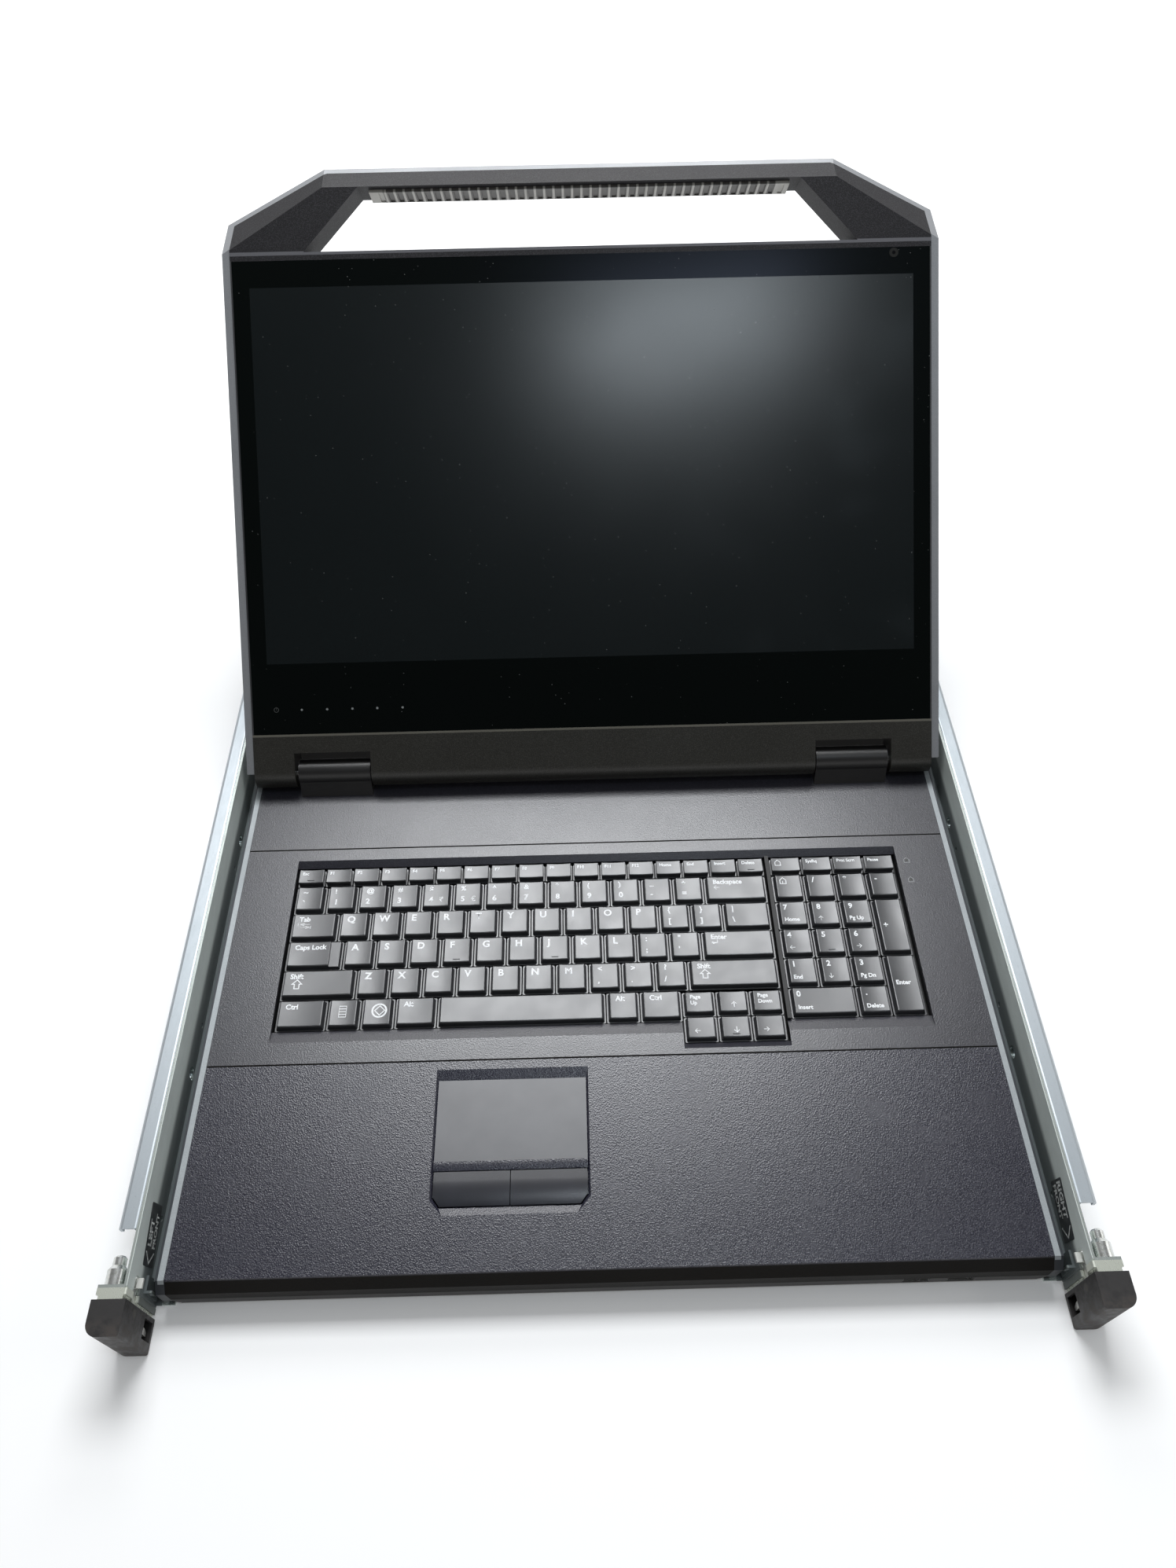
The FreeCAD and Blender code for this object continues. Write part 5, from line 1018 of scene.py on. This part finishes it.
# ---- display ----
def dark_glass(dark, dust_share):
    """The cover glass: black border, lit area that reflects more, smear, dust and a disc."""
    glass = Finish("screen_glass", dark, 0.14)
    place = glass.on_screen()
    across, up = glass.along("X", place), glass.along("Y", place)
    half, bottom, top = LIT_AREA
    lit = glass.times(glass.within(across, -half, half, 0.3),
                      glass.within(up, bottom, top, 0.3))
    tone = glass.blend(lit, dark, (dark[0] * 1.3, dark[1] * 1.5, dark[2] * 1.8))
    smear = glass.times(lit, glass.times(
        glass.remap(glass.noise(48.0, 1.5, place), 0.45, 0.85),
        glass.remap(across, 30.0 * MM, 200.0 * MM)))
    tone = glass.blend(glass.times(smear, 0.035), tone, srgb(140, 152, 160))
    dust = glass.times(glass.remap(glass.pebbles(4.5, "F1", place), 0.075, 0.03),
                       glass.remap(glass.noise(14.0, 1.0, place), 0.45, 0.6))
    tone = glass.blend(glass.times(dust, dust_share), tone, srgb(150, 152, 150))
    disc = glass.node("VectorMath", {
        0: place, 1: (CORNER_DISC[0] * MM, CORNER_DISC[1] * MM, SCREEN_FACE * MM)},
        operation="DISTANCE").outputs["Value"]
    tone = glass.blend(glass.remap(disc, 3.0 * MM, 2.6 * MM, 0.0, 0.8), tone,
                       srgb(44, 44, 42))
    tone = glass.blend(glass.remap(disc, 1.3 * MM, 0.9 * MM), tone, srgb(12, 12, 12))
    glass.drive("Base Color", tone)
    haze = glass.remap(glass.noise(60.0, 1.0, place), 0.3, 0.7, 0.24, 0.25)
    glass.drive("Roughness", glass.node("Mix", {0: lit, 2: 0.2, 3: haze}).outputs[0])
    glass.drive("Specular Tint", glass.blend(lit, (0.11, 0.12, 0.16), WHITE))
    return glass


def ribbed_grip():
    """The grip insert's dark plastic with pale ribs and ends."""
    grip = Finish("grip_plastic", srgb(70, 68, 66), 0.5)
    low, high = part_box("grip_insert")
    pitch, half = (high.x - low.x) / GRIP_RIBS, (high.x - low.x) / 2
    across = grip.along("X")
    turn = grip.maths("FRACT", grip.maths("DIVIDE", grip.plus(across, half), pitch))
    rib = grip.times(grip.remap(turn, 0.56, 0.62), grip.remap(turn, 0.8, 0.86, 1.0, 0.0))
    ends = grip.remap(grip.maths("ABSOLUTE", across), half - 1.6 * pitch, half - 1.4 * pitch)
    tone = grip.blend(grip.remap(grip.noise(12.0, 4.0), 0.35, 0.7), srgb(74, 72, 69),
                      srgb(88, 86, 82))
    grip.drive("Base Color", grip.blend(grip.most(rib, ends), tone, srgb(178, 176, 170)))
    grip.bumpy(grip.noise(0.5), 0.2, 0.04)
    return grip


class DisplayOperator(bpy.types.Operator):
    """Finishes the display's glass, trim, chin, handle and grip"""
    bl_idname = "console_drawer.display"
    bl_label = "Display"

    def execute(self, context):
        settings = context.scene.console_display
        dress(dark_glass(settings.glass_colour, settings.dust), "cover_glass")
        panel = Finish("panel_frame", srgb(120, 122, 122), 0.4, metallic=0.8)
        panel.bumpy(panel.noise(2.0), 0.15, 0.05)
        panel.drive("Roughness", panel.remap(panel.noise(20.0), 0.3, 0.7, 0.34, 0.48))
        dress(panel, "lcd_panel")
        dress(painted("trim_paint", settings.trim_colour, 0.4), "display_trim")
        # The handle's and chin's bright spots are painted glints of the grain; their pale lines
        # are painted highlights along edges.
        dress(grained("handle_grain", settings.handle_colour, 0.5, 0.6, 0.05, 0.15,
                      (0.03, 0.03, 0.033), (319.6, 321.6, srgb(92, 92, 96))),
              "display_handle")
        dress(grained("back_grain", srgb(36, 36, 38), 0.48, 0.7, 0.06), "display_back_cover")
        dress(grained("chin_grain", srgb(28, 27, 23), 0.38, 0.6, 0.05, 0.5,
                      (0.03, 0.029, 0.025), (23.6, 25.0, srgb(92, 90, 82))), "display_chin")
        dress(ribbed_grip(), "grip_insert")
        return {"FINISHED"}


class TouchMarksOperator(bpy.types.Operator):
    """Prints the touch keys' power sign and dots on the glass"""
    bl_idname = "console_drawer.touch_marks"
    bl_label = "Touch marks"

    def execute(self, context):
        select()
        bpy.ops.mesh.primitive_circle_add(vertices=20, radius=0.75 * MM, fill_type="NGON")
        dot = context.object
        choose("FACE", lambda face: True)
        bpy.ops.mesh.inset(thickness=0.3 * MM)
        leave_edit()
        dots = [copy_at(dot) for x in TOUCH_DOTS]
        for twin, x in zip(dots, TOUCH_DOTS):
            twin.matrix_world = on_glass(x, 40.4, 0.04)
        bpy.data.objects.remove(dot)
        ring = to_mesh([text_at("○", 2.9, -1.95, -1.5, 0.0), text_at("|", 1.4, -0.27, 0.4, 0.0)],
                       "power_sign")
        ring.matrix_world = on_glass(-200.4, 40.6, 0.03)
        place_applied()
        on_body(ring, "display", ink(
            "faint_ink", 0.6, 2.0, srgb(44, 46, 46), srgb(60, 62, 62)))
        on_body(join(dots, "touch_dots"), "display", ink(
            "mark_ink", 0.6, 2.0, srgb(104, 108, 108), srgb(136, 140, 140)))
        return {"FINISHED"}


class HingesOperator(bpy.types.Operator):
    """Finishes the hinge knuckles and their pins"""
    bl_idname = "console_drawer.hinges"
    bl_label = "Hinges"

    def execute(self, context):
        dress(grained("knuckle_grain", srgb(26, 25, 25), 0.36, 0.5, 0.03), "hinge_knuckles")
        pin = Finish("pin_steel", srgb(180, 180, 178), 0.25, metallic=1.0)
        pin.bumpy(pin.noise(0.6, 3.0, pin.stretched(1.0, 0.2, 0.2)), 0.2, 0.03)
        dress(pin, "hinge_pins")
        return {"FINISHED"}


# ---- studio ----
# Name, place, target and size in metres, radiance and colour
LAMPS = (
    ("rear_lamp", (-0.02, 0.98, 1.32), (0.0, 0.18, 0.0), (1.0, 0.52), 12.0, (0.96, 0.98, 1.0)),
    ("low_lamp", (0.0, 2.0, 1.32), (0.0, 0.1, 0.0), (1.2, 0.5), 6.0, WHITE),
    ("front_lamp", (0.205, -0.108, 1.565), (0.0627, 0.5066, 0.2035), (0.42, 0.12), 18.0,
     (0.84, 0.93, 1.0)),
    ("side_lamp", (1.3, 0.1, 0.8), (-0.2, 0.2, 0.0), (0.6, 0.6), 1.6, WHITE),
)
CAMERA_TURNS = ((-0.51, "Z"), (38.102, "X"), (-1.046, "Z"))  # degrees, outermost first


def soft_lamp(name, place, target, size, radiance, colour):
    """An area lamp of the given size in metres that shines at target."""
    lamp = bpy.data.lights.new(name, "AREA")
    lamp.shape = "RECTANGLE"
    lamp.size, lamp.size_y = size
    lamp.color = colour
    lamp.energy = radiance * math.pi * size[0] * size[1]
    holder = linked(name, lamp)
    holder.location = place
    holder.rotation_euler = (Vector(target) - Vector(place)).to_track_quat("-Z", "Y").to_euler()


def floor_paint(colour):
    """Pale floor that keeps its shadow, and brightens with distance for the camera."""
    paint = Finish("floor_paint", colour, 0.9, shine=0.0)
    rays = paint.node("LightPath").outputs
    unlit = paint.most(rays["Is Diffuse Ray"], rays["Is Shadow Ray"])
    away = paint.node("VectorMath", {0: paint.place}, operation="LENGTH"
                      ).outputs["Value"]
    far = paint.times(rays["Is Camera Ray"], paint.remap(away, 0.7, 2.6, 0.0, 0.62))
    paint.shader.inputs["Emission Color"].default_value = (*WHITE, 1.0)
    paint.drive("Emission Strength", paint.maths(
        "ADD", far, paint.times(paint.less(1.0, unlit), 0.1)))
    return paint


def light_surroundings(world):
    """White at the horizon; overhead, a ceiling for reflections and a dimmer light."""
    world.use_nodes = True
    sky = Nodes(world.node_tree)
    direction = sky.node("TexCoord").outputs["Generated"]
    parts = sky.node("SeparateXYZ", {0: direction}).outputs
    seen = sky.less(1.0, sky.node("LightPath").outputs["Is Diffuse Ray"])
    ceiling = sky.remap(parts["Y"], -0.35, 0.75, 0.04, 0.46)
    lighting = sky.remap(parts["Y"], -0.7, 0.8, 0.1, 0.45)
    horizon = sky.remap(seen, 0.0, 1.0, lighting, 1.0)
    above = sky.remap(seen, 0.0, 1.0, lighting, ceiling)
    background = sky.tree.nodes["Background"].inputs
    background["Color"].default_value = (*WHITE, 1.0)
    sky.tree.links.new(sky.remap(parts["Z"], 0.3, 0.55, horizon, above),
                       background["Strength"])


class StageOperator(bpy.types.Operator):
    """Sets the floor, the light, the surroundings and the camera"""
    bl_idname = "console_drawer.stage"
    bl_label = "Studio"

    def execute(self, context):
        settings = context.scene.console_studio
        select()
        bpy.ops.mesh.primitive_plane_add(size=8.0, location=(0, 0.2, CAD_BOX[0][2] - 0.0001))
        floor = context.object
        floor.name = "studio_floor"
        coat(floor, floor_paint(settings.floor_colour))
        context.scene.world = bpy.data.worlds.new("studio_surroundings")
        light_surroundings(context.scene.world)
        for lamp in LAMPS:
            soft_lamp(*lamp)

        camera = bpy.data.cameras.new("drawer_camera")
        camera.sensor_fit = "VERTICAL"
        camera.sensor_height = 36.0
        camera.lens = settings.lens
        camera.clip_start = 0.01
        holder = linked("drawer_camera", camera)
        seat = Matrix.Translation(settings.camera_place)
        for degrees, axis in CAMERA_TURNS:
            seat = seat @ turned(degrees, axis)
        holder.matrix_world = seat
        context.scene.camera = holder
        context.scene.view_settings.view_transform = "Standard"
        return {"FINISHED"}


# ---- panel and registration ----
OPERATORS = (RailsOperator, LatchesOperator, StudsOperator, SlidesOperator, TrayOperator,
             TouchpadOperator, KeysOperator, LetteringOperator, IndicatorsOperator,
             SocketsOperator, DisplayOperator, TouchMarksOperator, HingesOperator,
             StageOperator)
SETTINGS = {"console_keys": KeySettings, "console_tray": TraySettings,
            "console_display": DisplaySettings, "console_rails": RailSettings,
            "console_studio": StudioSettings}


class ConsoleDrawerPanel(bpy.types.Panel):
    """Lists the drawer's pieces and their settings"""
    bl_idname = "VIEW3D_PT_console_drawer"
    bl_label = "Console Drawer"
    bl_space_type = "VIEW_3D"
    bl_region_type = "UI"
    bl_category = "Console Drawer"

    def draw(self, context):
        for name, group in SETTINGS.items():
            box = self.layout.box()
            for setting in group.__annotations__:
                box.prop(getattr(context.scene, name), setting)
        for operator in OPERATORS:
            self.layout.operator(operator.bl_idname)


def register():
    for name, group in SETTINGS.items():
        bpy.utils.register_class(group)
        setattr(bpy.types.Scene, name, bpy.props.PointerProperty(type=group))
    for cls in (*OPERATORS, ConsoleDrawerPanel):
        bpy.utils.register_class(cls)


def unregister():
    for cls in (ConsoleDrawerPanel, *reversed(OPERATORS)):
        bpy.utils.unregister_class(cls)
    for name, group in SETTINGS.items():
        delattr(bpy.types.Scene, name)
        bpy.utils.unregister_class(group)


def main():
    register()
    for operator in OPERATORS:
        getattr(bpy.ops.console_drawer, operator.bl_idname.split(".")[1])()
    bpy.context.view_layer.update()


if __name__ == "__main__":
    main()
